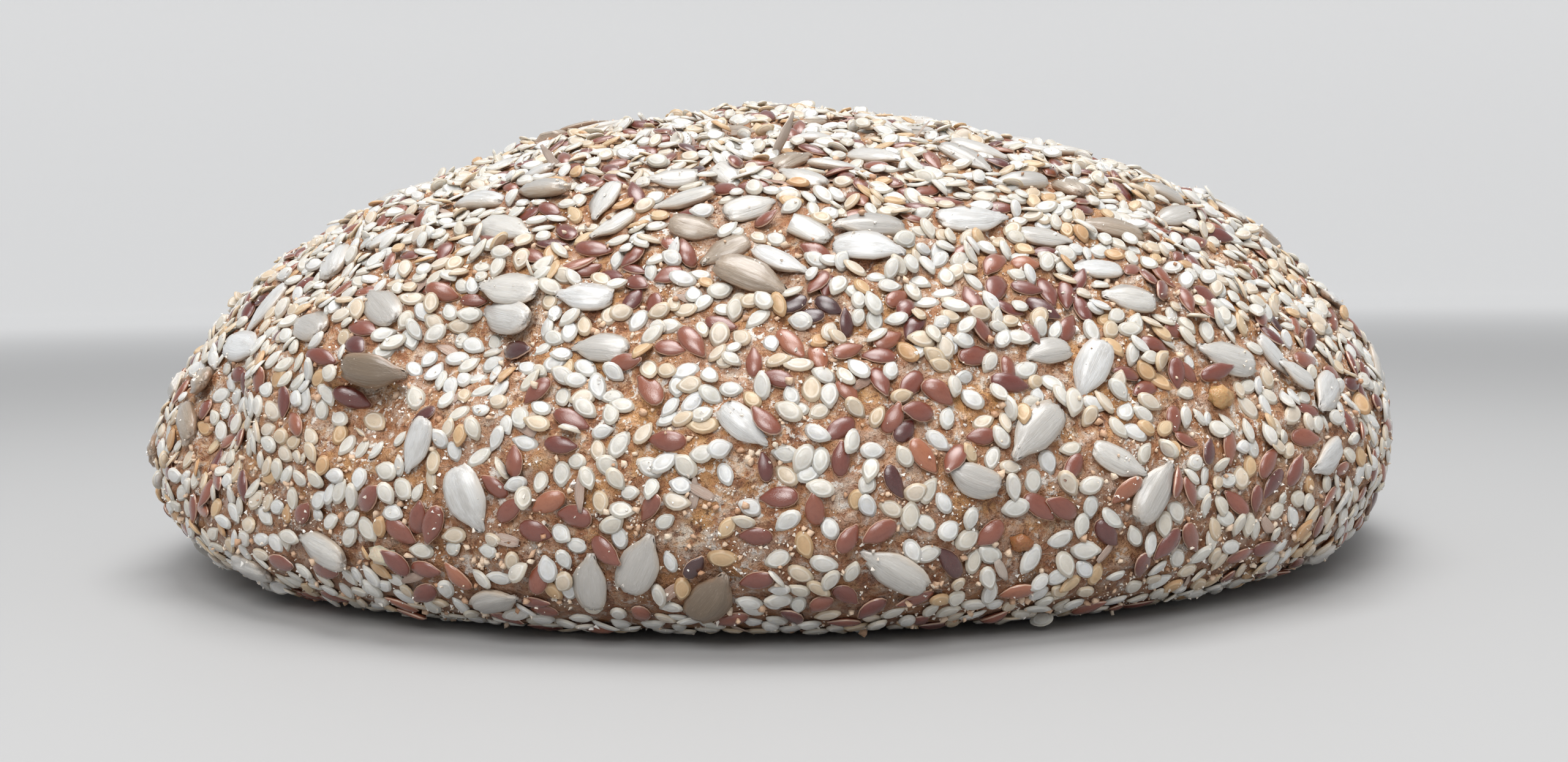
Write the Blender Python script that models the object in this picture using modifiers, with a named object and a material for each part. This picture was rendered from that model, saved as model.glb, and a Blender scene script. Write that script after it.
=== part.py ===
"""Seeded boule: a round, hand-shaped loaf rolled in sunflower kernels, flax and sesame.

Metres, +Z up. The origin is the middle of the flat foot that the loaf rests on. The loaf is one solid:
a turned dome, made uneven and creased as hand-shaped dough is, with the larger seeds fused to its crust.
"""

import math
import random

import bmesh
import bpy
from mathutils import Matrix, Vector
from mathutils.geometry import intersect_point_line

# Driving dimensions of the bare loaf, under its seeds.
LOAF_WIDTH = 0.2176
LOAF_DEPTH = 0.2110
LOAF_HEIGHT = 0.0776
WIDEST_HEIGHT = 0.0150
FOOT_SHARE = 0.81
DOME_BULGE = 2.05
SHOULDER_FULLNESS = 1.88

# Facets of the bare loaf.
SIDES = 56
UNDERSIDE_RINGS = 4
DOME_RINGS = 15

# The dough's uneven surface, and the level above the foot where it starts and where it is full.
UNEVEN_SCALE = 0.034
UNEVEN_DEPTH = 0.0046
FOOT_STAYS_FLAT = 0.002
UNEVEN_FROM = 0.014

# The crease in the left of the front, where a fold of dough was pressed shut, and the lip above it.
CREASE_START = Vector((-0.082, -0.064, 0.027))
CREASE_END = Vector((-0.042, -0.087, 0.040))
CREASE_DEPTH = 0.0036
CREASE_REACH = 0.013
LIP_RISE = Vector((0, 0, 0.010))
LIP_HEIGHT = 0.0016
LIP_REACH = 0.016

# The place low on the right of the front where the dough sat out a little over its foot.
SLUMP_FROM = Vector((0.082, -0.060, 0.010))
SLUMP_TO = Vector((0.104, 0.000, 0.010))
SLUMP_OUT = 0.0022
SLUMP_REACH = 0.018

# Seeds that show as bumps from a step away: length, width and thickness of each kind.
KERNEL_SIZE = Vector((0.0094, 0.0048, 0.0030))
FLAX_SIZE = Vector((0.0050, 0.0026, 0.0015))
KERNEL_COUNT = 190
FLAX_COUNT = 95
KERNEL_SIDES = 6
KERNEL_RINGS = 4
FLAX_SIDES = 5
FLAX_RINGS = 3
TIP_TAPER = 0.45
SIZE_SPREAD = 0.10
LIFT_SHARE = 0.16
TILT = math.radians(7)
PLACE_JITTER = 0.35
CROWN_BIAS = 1.12
LOWEST_SEED = 0.0055
SEED_GAP = 0.0012
GOLDEN_ANGLE = math.pi * (3 - math.sqrt(5))
RANDOM_SEED = 41

SMOOTH_BELOW = math.radians(35)
CRUST_COLOUR = (0.60, 0.42, 0.29, 1.0)
CRUST_ROUGHNESS = 0.85
MERGE_WITHIN = 0.00001


def clear_scene():
    """Remove every object, so that only the loaf is left."""
    for thing in list(bpy.data.objects):
        bpy.data.objects.remove(thing)


def new_collection(name):
    """Make a collection in the scene."""
    collection = bpy.data.collections.new(name)
    bpy.context.scene.collection.children.link(collection)
    return collection


def smooth_step(share):
    """Ease from 0 to 1 with level ends."""
    share = min(1.0, max(0.0, share))
    return share * share * (3 - 2 * share)


def loaf_profile():
    """Return the loaf's half section as (share of its half width, height), from the crown down to the foot."""
    section = []
    dome_height = LOAF_HEIGHT - WIDEST_HEIGHT
    for ring in range(DOME_RINGS):
        rise = math.cos(0.5 * math.pi * ring / DOME_RINGS)
        reach = (1 - rise**DOME_BULGE) ** (1 / SHOULDER_FULLNESS)
        section.append((reach, WIDEST_HEIGHT + dome_height * rise))
    for ring in range(UNDERSIDE_RINGS + 1):
        turn = 0.5 * math.pi * ring / UNDERSIDE_RINGS
        reach = FOOT_SHARE + (1 - FOOT_SHARE) * math.cos(turn)
        section.append((reach, WIDEST_HEIGHT * (1 - math.sin(turn))))
    section.append((0.0, 0.0))
    return section


def turned_loaf(collection):
    """Turn the section into a closed loaf, wider than it is deep."""
    section = loaf_profile()
    edges = [(i, i + 1) for i in range(len(section) - 1)]
    mesh = bpy.data.meshes.new("loaf")
    mesh.from_pydata([(reach, 0, height) for reach, height in section], edges, [])
    loaf = bpy.data.objects.new("loaf", mesh)
    collection.objects.link(loaf)
    turn = loaf.modifiers.new("turn", "SCREW")
    turn.angle = 2 * math.pi
    turn.steps = SIDES
    turn.render_steps = SIDES
    turn.use_merge_vertices = True
    turn.merge_threshold = MERGE_WITHIN
    apply_modifiers(loaf)
    loaf.data.transform(Matrix.Diagonal((LOAF_WIDTH / 2, LOAF_DEPTH / 2, 1, 1)))
    return loaf


def apply_modifiers(thing):
    """Give an object the mesh that its modifiers make, and drop them."""
    bpy.context.view_layer.update()
    evaluated = thing.evaluated_get(bpy.context.evaluated_depsgraph_get())
    made = bpy.data.meshes.new_from_object(evaluated)
    thing.modifiers.clear()
    thing.data = made


def make_uneven(loaf):
    """Swell and sink the dough softly, leaving the foot flat."""
    above_foot = loaf.vertex_groups.new(name="above_foot")
    for point in loaf.data.vertices:
        share = (point.co.z - FOOT_STAYS_FLAT) / (UNEVEN_FROM - FOOT_STAYS_FLAT)
        above_foot.add([point.index], smooth_step(share), "REPLACE")
    clouds = bpy.data.textures.new("dough", "CLOUDS")
    clouds.noise_scale = UNEVEN_SCALE
    clouds.noise_depth = 1
    swell = loaf.modifiers.new("swell", "DISPLACE")
    swell.texture = clouds
    swell.texture_coords = "LOCAL"
    swell.strength = UNEVEN_DEPTH
    swell.vertex_group = above_foot.name
    apply_modifiers(loaf)


def push_along(loaf, start, end, push, reach):
    """Move the dough near the line from start to end, most on the line and none at its reach."""
    for point in loaf.data.vertices:
        nearest, share = intersect_point_line(point.co, start, end)
        nearest = start.lerp(end, min(1.0, max(0.0, share)))
        fall = smooth_step(1 - (point.co - nearest).length / reach)
        point.co += push * fall


def crease_and_slump(loaf):
    """Press the fold in, raise the lip of dough over it, and let the right side sit out over its foot."""
    outward = (CREASE_START + CREASE_END).normalized()
    push_along(loaf, CREASE_START, CREASE_END, -outward * CREASE_DEPTH, CREASE_REACH)
    push_along(loaf, CREASE_START + LIP_RISE, CREASE_END + LIP_RISE, outward * LIP_HEIGHT, LIP_REACH)
    sideways = ((SLUMP_FROM + SLUMP_TO) * Vector((1, 1, 0))).normalized()
    push_along(loaf, SLUMP_FROM, SLUMP_TO, sideways * SLUMP_OUT, SLUMP_REACH)


def area_table():
    """Return (share of the seeded area from the crown down, reach, height) along the loaf's section."""
    section = [spot for spot in loaf_profile() if spot[1] >= LOWEST_SEED]
    table = [(0.0, *section[0])]
    half = LOAF_WIDTH / 2
    for (reach, height), (next_reach, next_height) in zip(section, section[1:]):
        slant = math.hypot((next_reach - reach) * half, next_height - height)
        area = slant * (reach + next_reach) / 2
        table.append((table[-1][0] + area, next_reach, next_height))
    whole = table[-1][0]
    return [(area / whole, reach, height) for area, reach, height in table]


def section_at(table, share):
    """Return (reach, height) where that share of the seeded area lies above."""
    for (low, reach, height), (high, next_reach, next_height) in zip(table, table[1:]):
        if share <= high:
            along = (share - low) / (high - low)
            return reach + along * (next_reach - reach), height + along * (next_height - height)
    return table[-1][1:]


def spread_spots(count, draw):
    """Yield the places of seeds spread evenly over the crust, a little closer at the crown."""
    table = area_table()
    for i in range(count):
        azimuth = (i + draw.uniform(-PLACE_JITTER, PLACE_JITTER)) * GOLDEN_ANGLE
        share = ((i + 0.5 + draw.uniform(-PLACE_JITTER, PLACE_JITTER)) / count) ** CROWN_BIAS
        reach, height = section_at(table, share)
        across = math.cos(azimuth) * reach * LOAF_WIDTH / 2
        along = math.sin(azimuth) * reach * LOAF_DEPTH / 2
        yield Vector((across, along, height))


def seed_shape(name, size, sides, rings):
    """Make a flat teardrop seed of that length, width and thickness, with its tip at +X."""
    shape = bmesh.new()
    along_x = Matrix.Rotation(math.pi / 2, 4, "Y")
    bmesh.ops.create_uvsphere(shape, u_segments=sides, v_segments=rings, radius=0.5, matrix=along_x)
    for point in shape.verts:
        narrow = 1 - TIP_TAPER * max(0.0, 2 * point.co.x)
        point.co = Vector((point.co.x * size.x, point.co.y * size.y * narrow, point.co.z * size.z * narrow))
    mesh = bpy.data.meshes.new(name)
    shape.to_mesh(mesh)
    shape.free()
    return mesh


def lay_seed(name, shape, loaf, spot, lift, draw, collection):
    """Lay one seed flat on the crust nearest to a spot, turned and tilted by a draw, and return its place."""
    _, place, normal, _ = loaf.closest_point_on_mesh(spot)
    turn = Matrix.Rotation(draw.uniform(0, 2 * math.pi), 4, "Z")
    roll = Matrix.Rotation(draw.uniform(-TILT, TILT), 4, "X")
    nod = Matrix.Rotation(draw.uniform(-TILT, TILT), 4, "Y")
    size = Matrix.Scale(1 + draw.uniform(-SIZE_SPREAD, SIZE_SPREAD), 4)
    seed = bpy.data.objects.new(name, shape)
    collection.objects.link(seed)
    stand = Matrix.Translation(place + normal * lift) @ normal.to_track_quat("Z", "Y").to_matrix().to_4x4()
    seed.matrix_world = stand @ turn @ roll @ nod @ size
    return place


def scatter(name, size, sides, rings, count, loaf, taken, draw, collection):
    """Scatter one kind of seed over the crust, skipping any that would crowd a seed already there."""
    shape = seed_shape(name, size, sides, rings)
    room = size.x / 2
    for i, spot in enumerate(spread_spots(count, draw)):
        if any((spot - place).length < other + room + SEED_GAP for place, other in taken):
            continue
        place = lay_seed(f"{name}_{i}", shape, loaf, spot, size.z * LIFT_SHARE, draw, collection)
        taken.append((place, room))


def fuse(loaf, seeds):
    """Join the seeds to the crust as one solid, and drop the loose copies."""
    union = loaf.modifiers.new("fuse", "BOOLEAN")
    union.operation = "UNION"
    union.operand_type = "COLLECTION"
    union.collection = seeds
    union.solver = "EXACT"
    apply_modifiers(loaf)
    for seed in list(seeds.objects):
        bpy.data.objects.remove(seed)
    bpy.data.collections.remove(seeds)


def crust_material():
    """Return the crust's plain tan."""
    material = bpy.data.materials.new("crust")
    material.use_nodes = True
    surface = material.node_tree.nodes["Principled BSDF"]
    surface.inputs["Base Color"].default_value = CRUST_COLOUR
    surface.inputs["Roughness"].default_value = CRUST_ROUGHNESS
    return material


def build():
    """Build the boule."""
    clear_scene()
    boule = new_collection("seeded_boule")
    seeds = new_collection("seeds")
    loaf = turned_loaf(boule)
    make_uneven(loaf)
    crease_and_slump(loaf)
    draw = random.Random(RANDOM_SEED)
    taken = []
    scatter("kernel", KERNEL_SIZE, KERNEL_SIDES, KERNEL_RINGS, KERNEL_COUNT, loaf, taken, draw, seeds)
    scatter("flax", FLAX_SIZE, FLAX_SIDES, FLAX_RINGS, FLAX_COUNT, loaf, taken, draw, seeds)
    fuse(loaf, seeds)
    loaf.data.shade_smooth()
    loaf.data.set_sharp_from_angle(angle=SMOOTH_BELOW)
    loaf.data.materials.clear()
    loaf.data.materials.append(crust_material())


build()
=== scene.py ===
"""The looks of the seeded boule: its baked crust, and the seeds, husks and crumbs that lie on it.

Metres, +Z up, the loaf's foot at the origin. The crust is modelled first and is the bed that everything else
is laid on: each seed is set down where the bed has room, resting on the crust or on the seeds already there.
"""

from __future__ import annotations

import sys

import logging
import math
from collections import defaultdict
from collections.abc import Callable, Iterator
from contextlib import contextmanager
from dataclasses import dataclass, field
from enum import Enum
from typing import Protocol

import bmesh
import bpy
import numpy as np
from mathutils import Matrix, Vector, noise
from mathutils.bvhtree import BVHTree


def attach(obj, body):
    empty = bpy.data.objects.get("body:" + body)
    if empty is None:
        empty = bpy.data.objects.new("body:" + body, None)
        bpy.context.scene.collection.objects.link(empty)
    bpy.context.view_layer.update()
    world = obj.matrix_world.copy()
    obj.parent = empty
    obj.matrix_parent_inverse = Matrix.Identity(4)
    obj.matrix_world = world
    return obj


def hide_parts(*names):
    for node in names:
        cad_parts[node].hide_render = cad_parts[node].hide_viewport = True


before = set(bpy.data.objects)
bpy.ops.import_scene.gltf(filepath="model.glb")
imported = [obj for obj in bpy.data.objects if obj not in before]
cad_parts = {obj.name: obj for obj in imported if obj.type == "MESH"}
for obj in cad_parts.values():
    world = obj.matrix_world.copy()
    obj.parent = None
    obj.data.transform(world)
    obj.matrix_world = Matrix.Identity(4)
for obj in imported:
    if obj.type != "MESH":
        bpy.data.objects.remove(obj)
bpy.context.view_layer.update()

log = logging.getLogger("boule")
Colour = tuple[float, float, float]
Triple = tuple[float, float, float]
Line = tuple[Triple, Triple]
Pixels = tuple[tuple[float, float, float, float], ...]
Socket = bpy.types.NodeSocket

BODY = "root"


# ---------------------------------------------------------------- hands and tools


def take_up(piece: bpy.types.Object) -> None:
    """Select one piece, and nothing else.

    Args:
        piece: The piece to select.
    """
    bpy.ops.object.select_all(action="DESELECT")
    bpy.context.view_layer.objects.active = piece
    piece.select_set(True)


@contextmanager
def edit_mode(piece: bpy.types.Object) -> Iterator[None]:
    """Open one piece, and nothing else, in edit mode.

    Args:
        piece: The piece to work on.

    Yields:
        Nothing; edit mode ends with the block.
    """
    take_up(piece)
    bpy.ops.object.mode_set(mode="EDIT")
    yield
    bpy.ops.object.mode_set(mode="OBJECT")


def pick(test: Callable[[Vector], bool]) -> None:
    """Select just those points of the piece in edit mode whose place passes a test.

    Args:
        test: Tells, from a point's place, whether it is picked.
    """
    bpy.ops.mesh.select_mode(type="VERT")
    bpy.ops.mesh.select_all(action="DESELECT")
    mesh = bpy.context.edit_object.data
    shape = bmesh.from_edit_mesh(mesh)
    for point in shape.verts:
        point.select_set(test(point.co))
    shape.select_flush(True)
    bmesh.update_edit_mesh(mesh)


def pull(value: Triple | Vector, reach: float) -> None:
    """Move the picked points, and draw the points within reach after them.

    Args:
        value: How far to move them, in metres.
        reach: How far from them the pull is felt.
    """
    bpy.ops.transform.translate(
        value=tuple(value),
        use_proportional_edit=True,
        proportional_edit_falloff="SMOOTH",
        proportional_size=reach,
    )


def squeeze(value: Triple, about: Triple, reach: float) -> None:
    """Scale the picked points about a place, and the points within reach with them.

    Args:
        value: The scale along each axis.
        about: The place that stays where it is.
        reach: How far from the picked points the scaling is felt.
    """
    bpy.ops.transform.resize(
        value=value,
        center_override=about,
        use_proportional_edit=True,
        proportional_edit_falloff="SMOOTH",
        proportional_size=reach,
    )


def finish_modifiers(piece: bpy.types.Object) -> None:
    """Apply all of a piece's modifiers, in their order.

    Args:
        piece: The piece whose modifiers are applied.
    """
    take_up(piece)
    for modifier in list(piece.modifiers):
        bpy.ops.object.modifier_apply(modifier=modifier.name)


def fix_order(piece: bpy.types.Object) -> None:
    """Number a piece's faces and their corners by its points, as modelling leaves them in an order of chance.

    Args:
        piece: The piece to put in order.
    """
    mesh = piece.data
    points = [point.co[:] for point in mesh.vertices]
    faces = []
    for face in mesh.polygons:
        corners = list(face.vertices)
        first = corners.index(min(corners))
        faces.append(corners[first:] + corners[:first])
    mesh.clear_geometry()
    mesh.from_pydata(points, [], sorted(faces))


def smooth_step(share: float) -> float:
    """Ease from 0 to 1 with level ends."""
    share = min(1.0, max(0.0, share))
    return share * share * (3 - 2 * share)


def mesh_arrays(piece: bpy.types.Object) -> tuple[np.ndarray, np.ndarray]:
    """Return a piece's points, and its triangles as rows of three point numbers.

    Args:
        piece: The piece to read.

    Returns:
        The points, and the triangles as rows of three point numbers.
    """
    mesh = piece.data
    mesh.calc_loop_triangles()
    points = np.empty(len(mesh.vertices) * 3, np.float32)
    mesh.vertices.foreach_get("co", points)
    corners = np.empty(len(mesh.loop_triangles) * 3, np.int32)
    mesh.loop_triangles.foreach_get("vertices", corners)
    return points.reshape(-1, 3).astype(float), corners.reshape(-1, 3)


# ---------------------------------------------------------------- materials


class Graph:
    """One material and its nodes, wired by short calls."""

    VARIETY = 40.0

    def __init__(self, name: str) -> None:
        """Make the material, with its surface shader ready.

        Args:
            name: The material's name.
        """
        self.material = bpy.data.materials.new(name)
        self.material.use_nodes = True
        self.nodes = self.material.node_tree.nodes
        self.links = self.material.node_tree.links
        self.surface = self.nodes["Principled BSDF"]

    def feed(self, socket: Socket, value: object) -> None:
        """Give a socket a constant, or link another node's output to it.

        Args:
            socket: The input to set.
            value: A number, a vector, a colour or another node's output.
        """
        if isinstance(value, bpy.types.NodeSocket):
            self.links.new(value, socket)
        elif isinstance(value, tuple) and len(value) == 3 and socket.type == "RGBA":
            socket.default_value = (*value, 1.0)
        else:
            socket.default_value = value

    def add(self, kind: str, inputs: dict[int | str, object], **settings: object) -> bpy.types.Node:
        """Add a node with its settings, and feed its inputs.

        Args:
            kind: The node's type, without its leading word.
            inputs: What each of its inputs gets, by number or name.
            settings: Its own settings, by name.

        Returns:
            The node.
        """
        node = self.nodes.new("ShaderNode" + kind)
        for name, value in settings.items():
            setattr(node, name, value)
        for key, value in inputs.items():
            self.feed(node.inputs[key], value)
        return node

    def set(self, **inputs: object) -> None:
        """Feed the surface shader; a socket's spaces are written as underscores."""
        for name, value in inputs.items():
            self.feed(self.surface.inputs[name.replace("_", " ")], value)

    def stored(self, name: str) -> bpy.types.Node:
        """Read one of the values that the piece's points carry."""
        return self.add("Attribute", {}, attribute_type="GEOMETRY", attribute_name=name)

    def seed_values(self) -> tuple[Socket, Socket, Socket]:
        """Read a seed's tint, the place along its grain, and a number that gives each seed noise of its own."""
        tint = self.stored("tint").outputs["Fac"]
        return tint, self.stored("grain").outputs["Vector"], self.sum("MULTIPLY", tint, self.VARIETY)

    def place(self) -> Socket:
        """Return the place on the piece, in metres."""
        return self.add("TexCoord", {}).outputs["Object"]

    def axis(self, vector: Socket, name: str) -> Socket:
        """Return how far a place lies along one axis."""
        return self.add("SeparateXYZ", {0: vector}).outputs[name]

    def stretch(self, vector: Socket, scale: Triple) -> Socket:
        """Stretch a place along its axes."""
        return self.add("Mapping", {"Vector": vector, "Scale": scale}).outputs[0]

    def noise(self, vector: Socket, scale: float, detail: float, rough: float, seed: object = 0.0) -> Socket:
        """Return soft noise from 0 to 1: its scale, its finer layers, how strong they are, and which noise it is."""
        inputs = {"Vector": vector, "W": seed, "Scale": scale, "Detail": detail, "Roughness": rough}
        return self.add("TexNoise", inputs, noise_dimensions="4D").outputs["Fac"]

    def ramp(self, share: Socket, stops: tuple[float, ...], colours: tuple[Colour, ...]) -> Socket:
        """Turn a value into a colour, by stops.

        Args:
            share: A value from 0 to 1.
            stops: The values where each colour is reached.
            colours: The colours.

        Returns:
            The colour.
        """
        node = self.add("ValToRGB", {0: share})
        elements = node.color_ramp.elements
        while len(elements) < len(stops):
            elements.new(1.0)
        for element, position, colour in zip(elements, stops, colours):
            element.position = position
            element.color = (*colour, 1.0)
        return node.outputs["Color"]

    def band(self, value: Socket, low: float, high: float, top: float = 1.0) -> Socket:
        """Return 0 below low, rising smoothly to top at high."""
        inputs = {"Value": value, "From Min": low, "From Max": high, "To Max": top}
        return self.add("MapRange", inputs, interpolation_type="SMOOTHSTEP").outputs["Result"]

    def sum(self, kind: str, first: object, second: object, third: object = 0.0) -> Socket:
        """Work out one step of arithmetic."""
        return self.add("Math", {0: first, 1: second, 2: third}, operation=kind).outputs[0]

    def rest(self, share: Socket, whole: float = 1.0) -> Socket:
        """Return what a share leaves of the whole."""
        return self.sum("SUBTRACT", whole, share)

    def length(self, vector: Socket) -> Socket:
        """Return how long a vector is."""
        return self.add("VectorMath", {0: vector}, operation="LENGTH").outputs["Value"]

    def mix(self, share: object, first: object, second: object, blend: str = "MIX") -> Socket:
        """Mix two colours."""
        inputs = {0: share, 6: first, 7: second}
        return self.add("Mix", inputs, data_type="RGBA", blend_type=blend).outputs[2]

    def bump(self, height: Socket, depth: float, strength: float = 1.0, under: Socket | None = None) -> Socket:
        """Raise the surface by a height from 0 to 1, depth metres in all.

        Args:
            height: The height, from 0 to 1.
            depth: How much that is in metres.
            strength: How much of it is used.
            under: The relief that it is laid on, if any.

        Returns:
            The normal of the raised surface.
        """
        inputs = {"Height": height, "Distance": depth, "Strength": strength}
        if under is not None:
            inputs["Normal"] = under
        return self.add("Bump", inputs).outputs[0]


class Finish(Protocol):
    """Anything that makes one material."""

    def make(self) -> bpy.types.Material:
        """Return the material."""


@dataclass(frozen=True)
class CrustFinish:
    """Baked dough: rosy tan, stained amber, with pale flakes of dried flour paste; painted shade in its hollows, round
    the seeds and at the foot.
    """

    # crack_and_shade: the darkest dough tone, also used as painted shade in hollows, in pits and toward the foot.
    crack_and_shade: Colour = (0.105, 0.034, 0.012)
    rosy: Colour = (0.42, 0.185, 0.085)
    tan: Colour = (0.69, 0.455, 0.275)
    amber: Colour = (0.63, 0.335, 0.120)
    flour: Colour = (0.86, 0.765, 0.640)
    paste: Colour = (0.84, 0.790, 0.720)
    # Painted contact shade round the seeds and in the fold, with the look of moist dough.
    damp_shade: Colour = (0.34, 0.135, 0.052)
    stops: tuple[float, ...] = (0.39, 0.45, 0.49, 0.55)
    broad_scale: float = 110
    stain_scale: float = 150
    dust_scale: float = 210
    fine_scale: float = 480
    flake_scale: float = 760
    stain_share: float = 0.80
    dust_share: float = 0.95
    # How strong the painted shade in the pits of the flaked relief is.
    pit_shade_share: float = 0.85
    # How strong the painted contact shade round the seeds is.
    damp_shade_share: float = 0.85
    # Painted shade toward the foot: its strength, and the heights over which it fades out.
    foot_shade: float = 0.66
    foot_shade_from: float = 0.001
    foot_shade_to: float = 0.032
    moist: float = 0.42
    dry: float = 0.85
    fine_depth: float = 0.0014
    flake_depth: float = 0.0010

    def make(self) -> bpy.types.Material:
        """Return the material.

        Returns:
            The material.
        """
        graph = Graph("crust")
        place = graph.place()
        broad = graph.noise(place, self.broad_scale, 4, 0.65)
        fine = graph.noise(place, self.fine_scale, 4, 0.70)
        flakes = graph.noise(place, self.flake_scale, 5, 0.66)
        # mixed follows the fine relief that is bumped below, so the ramp is partly the dough's own tones, partly
        # painted shade in its hollows and painted highlight on its ridges.
        mixed = graph.sum("ADD", graph.sum("MULTIPLY", broad, 0.5), graph.sum("MULTIPLY", fine, 0.5))
        colour = graph.ramp(mixed, self.stops, (self.crack_and_shade, self.rosy, self.tan, self.flour))
        stain = graph.band(graph.noise(place, self.stain_scale, 3, 0.6, 5.0), 0.50, 0.60, self.stain_share)
        colour = graph.mix(stain, colour, self.amber)
        dusted = graph.band(graph.noise(place, self.dust_scale, 3, 0.6, 9.0), 0.38, 0.60, self.dust_share)
        paste = graph.sum("MULTIPLY", graph.band(flakes, 0.53, 0.60), dusted)
        # Painted shade in the pits of the flaked relief, which is bumped from the same noise.
        pit_shade = graph.rest(graph.band(flakes, 0.38, 0.47, self.pit_shade_share), self.pit_shade_share)
        colour = graph.mix(pit_shade, colour, self.crack_and_shade)
        # Painted contact shade round the seeds and in the fold, with the look of moist dough, in patches.
        held = graph.band(broad, 0.25, 0.60, self.damp_shade_share)
        damp_shade = graph.sum("MULTIPLY", graph.stored("damp_shade").outputs["Fac"], held)
        colour = graph.mix(damp_shade, colour, self.damp_shade)
        colour = graph.mix(paste, colour, self.paste)
        # Painted shade: the crust grows darker toward the foot.
        raised = graph.band(graph.axis(place, "Z"), self.foot_shade_from, self.foot_shade_to, self.foot_shade)
        colour = graph.mix(graph.rest(raised, self.foot_shade), colour, self.crack_and_shade)
        rough = graph.sum("MULTIPLY_ADD", paste, self.dry - self.moist, self.moist)
        graph.set(Base_Color=colour, Roughness=rough, Subsurface_Weight=0.06, Subsurface_Scale=0.0015,
                  Subsurface_Radius=(1.0, 0.6, 0.4))
        grainy = graph.bump(fine, self.fine_depth)
        graph.set(Normal=graph.bump(flakes, self.flake_depth, under=grainy))
        return graph.material


@dataclass(frozen=True)
class SesameFinish:
    """A sesame seed: a cloudy pale face, a bright line around it, and a thin translucent rim."""

    name: str
    shades: tuple[Colour, Colour, Colour]
    rim: Colour
    line: Colour = (0.72, 0.715, 0.69)
    cloud: Colour = (0.86, 0.85, 0.825)
    cloud_share: float = 0.75
    line_share: float = 0.26
    rim_share: float = 0.48
    tip_share: float = 0.45
    roughness: float = 0.34
    line_depth: float = 0.00006
    skin_depth: float = 0.00004

    def make(self) -> bpy.types.Material:
        """Return the material.

        Returns:
            The material.
        """
        graph = Graph(self.name)
        tint, grain, shift = graph.seed_values()
        out = graph.length(graph.stretch(grain, (1.0, 1.0, 0.0)))
        face = graph.ramp(tint, (0.0, 0.55, 1.0), self.shades)
        mottle = graph.noise(grain, 1.7, 4, 0.6, shift)
        face = graph.mix(graph.band(mottle, 0.42, 0.66, self.cloud_share), face, self.cloud, "MULTIPLY")
        line = graph.sum("MULTIPLY", graph.band(out, 0.46, 0.62), graph.rest(graph.band(out, 0.64, 0.80)))
        colour = graph.mix(graph.sum("MULTIPLY", line, self.line_share), face, self.line)
        edge = graph.band(out, 0.62, 0.92, self.rim_share)
        tip = graph.band(graph.axis(grain, "X"), 0.62, 0.95, self.tip_share)
        colour = graph.mix(graph.sum("MAXIMUM", edge, tip), colour, self.rim)
        graph.set(Base_Color=colour, Roughness=self.roughness, Subsurface_Weight=0.40, Subsurface_Scale=0.0012,
                  Subsurface_Radius=(1.0, 0.80, 0.55))
        skin = graph.noise(grain, 5.0, 3, 0.6, shift)
        raised = graph.bump(line, self.line_depth)
        graph.set(Normal=graph.bump(skin, self.skin_depth, under=raised))
        return graph.material


@dataclass(frozen=True)
class FlaxFinish:
    """A flax seed: a glossy, finely dimpled coat, with a pale line along its thin edge and a pale tip."""

    name: str = "flax"
    dark: Colour = (0.045, 0.010, 0.010)
    red: Colour = (0.128, 0.025, 0.017)
    brown: Colour = (0.212, 0.060, 0.032)
    tan: Colour = (0.345, 0.122, 0.056)
    edge: Colour = (0.66, 0.450, 0.330)
    worn: Colour = (0.55, 0.40, 0.33)
    mottle: Colour = (0.66, 0.50, 0.44)
    stops: tuple[float, ...] = (0.0, 0.20, 0.55, 1.0)
    mottle_share: float = 0.50
    edge_share: float = 0.80
    worn_share: float = 0.14
    roughness: float = 0.22
    coat_roughness: float = 0.06
    dimple_depth: float = 0.00003

    def make(self) -> bpy.types.Material:
        """Return the material.

        Returns:
            The material.
        """
        graph = Graph(self.name)
        tint, grain, shift = graph.seed_values()
        coat = graph.ramp(tint, self.stops, (self.dark, self.red, self.brown, self.tan))
        mottle = graph.noise(grain, 2.4, 5, 0.68, shift)
        coat = graph.mix(graph.band(mottle, 0.44, 0.70, self.mottle_share), coat, self.mottle, "MULTIPLY")
        rise = graph.sum("ABSOLUTE", graph.axis(grain, "Z"), 0.0)
        edge = graph.rest(graph.band(rise, 0.06, 0.26))
        tip = graph.band(graph.axis(grain, "X"), 0.90, 1.0)
        pale = graph.sum("MULTIPLY", graph.sum("MAXIMUM", edge, tip), self.edge_share)
        worn = graph.band(graph.noise(grain, 7.0, 4, 0.65, shift), 0.60, 0.74, self.worn_share)
        colour = graph.mix(worn, graph.mix(pale, coat, self.edge), self.worn)
        graph.set(Base_Color=colour, Roughness=self.roughness, Coat_Weight=1.0, Coat_Roughness=self.coat_roughness)
        dimples = graph.bump(graph.noise(grain, 14.0, 3, 0.6, shift), self.dimple_depth)
        graph.set(Normal=dimples, Coat_Normal=dimples)
        return graph.material


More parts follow.
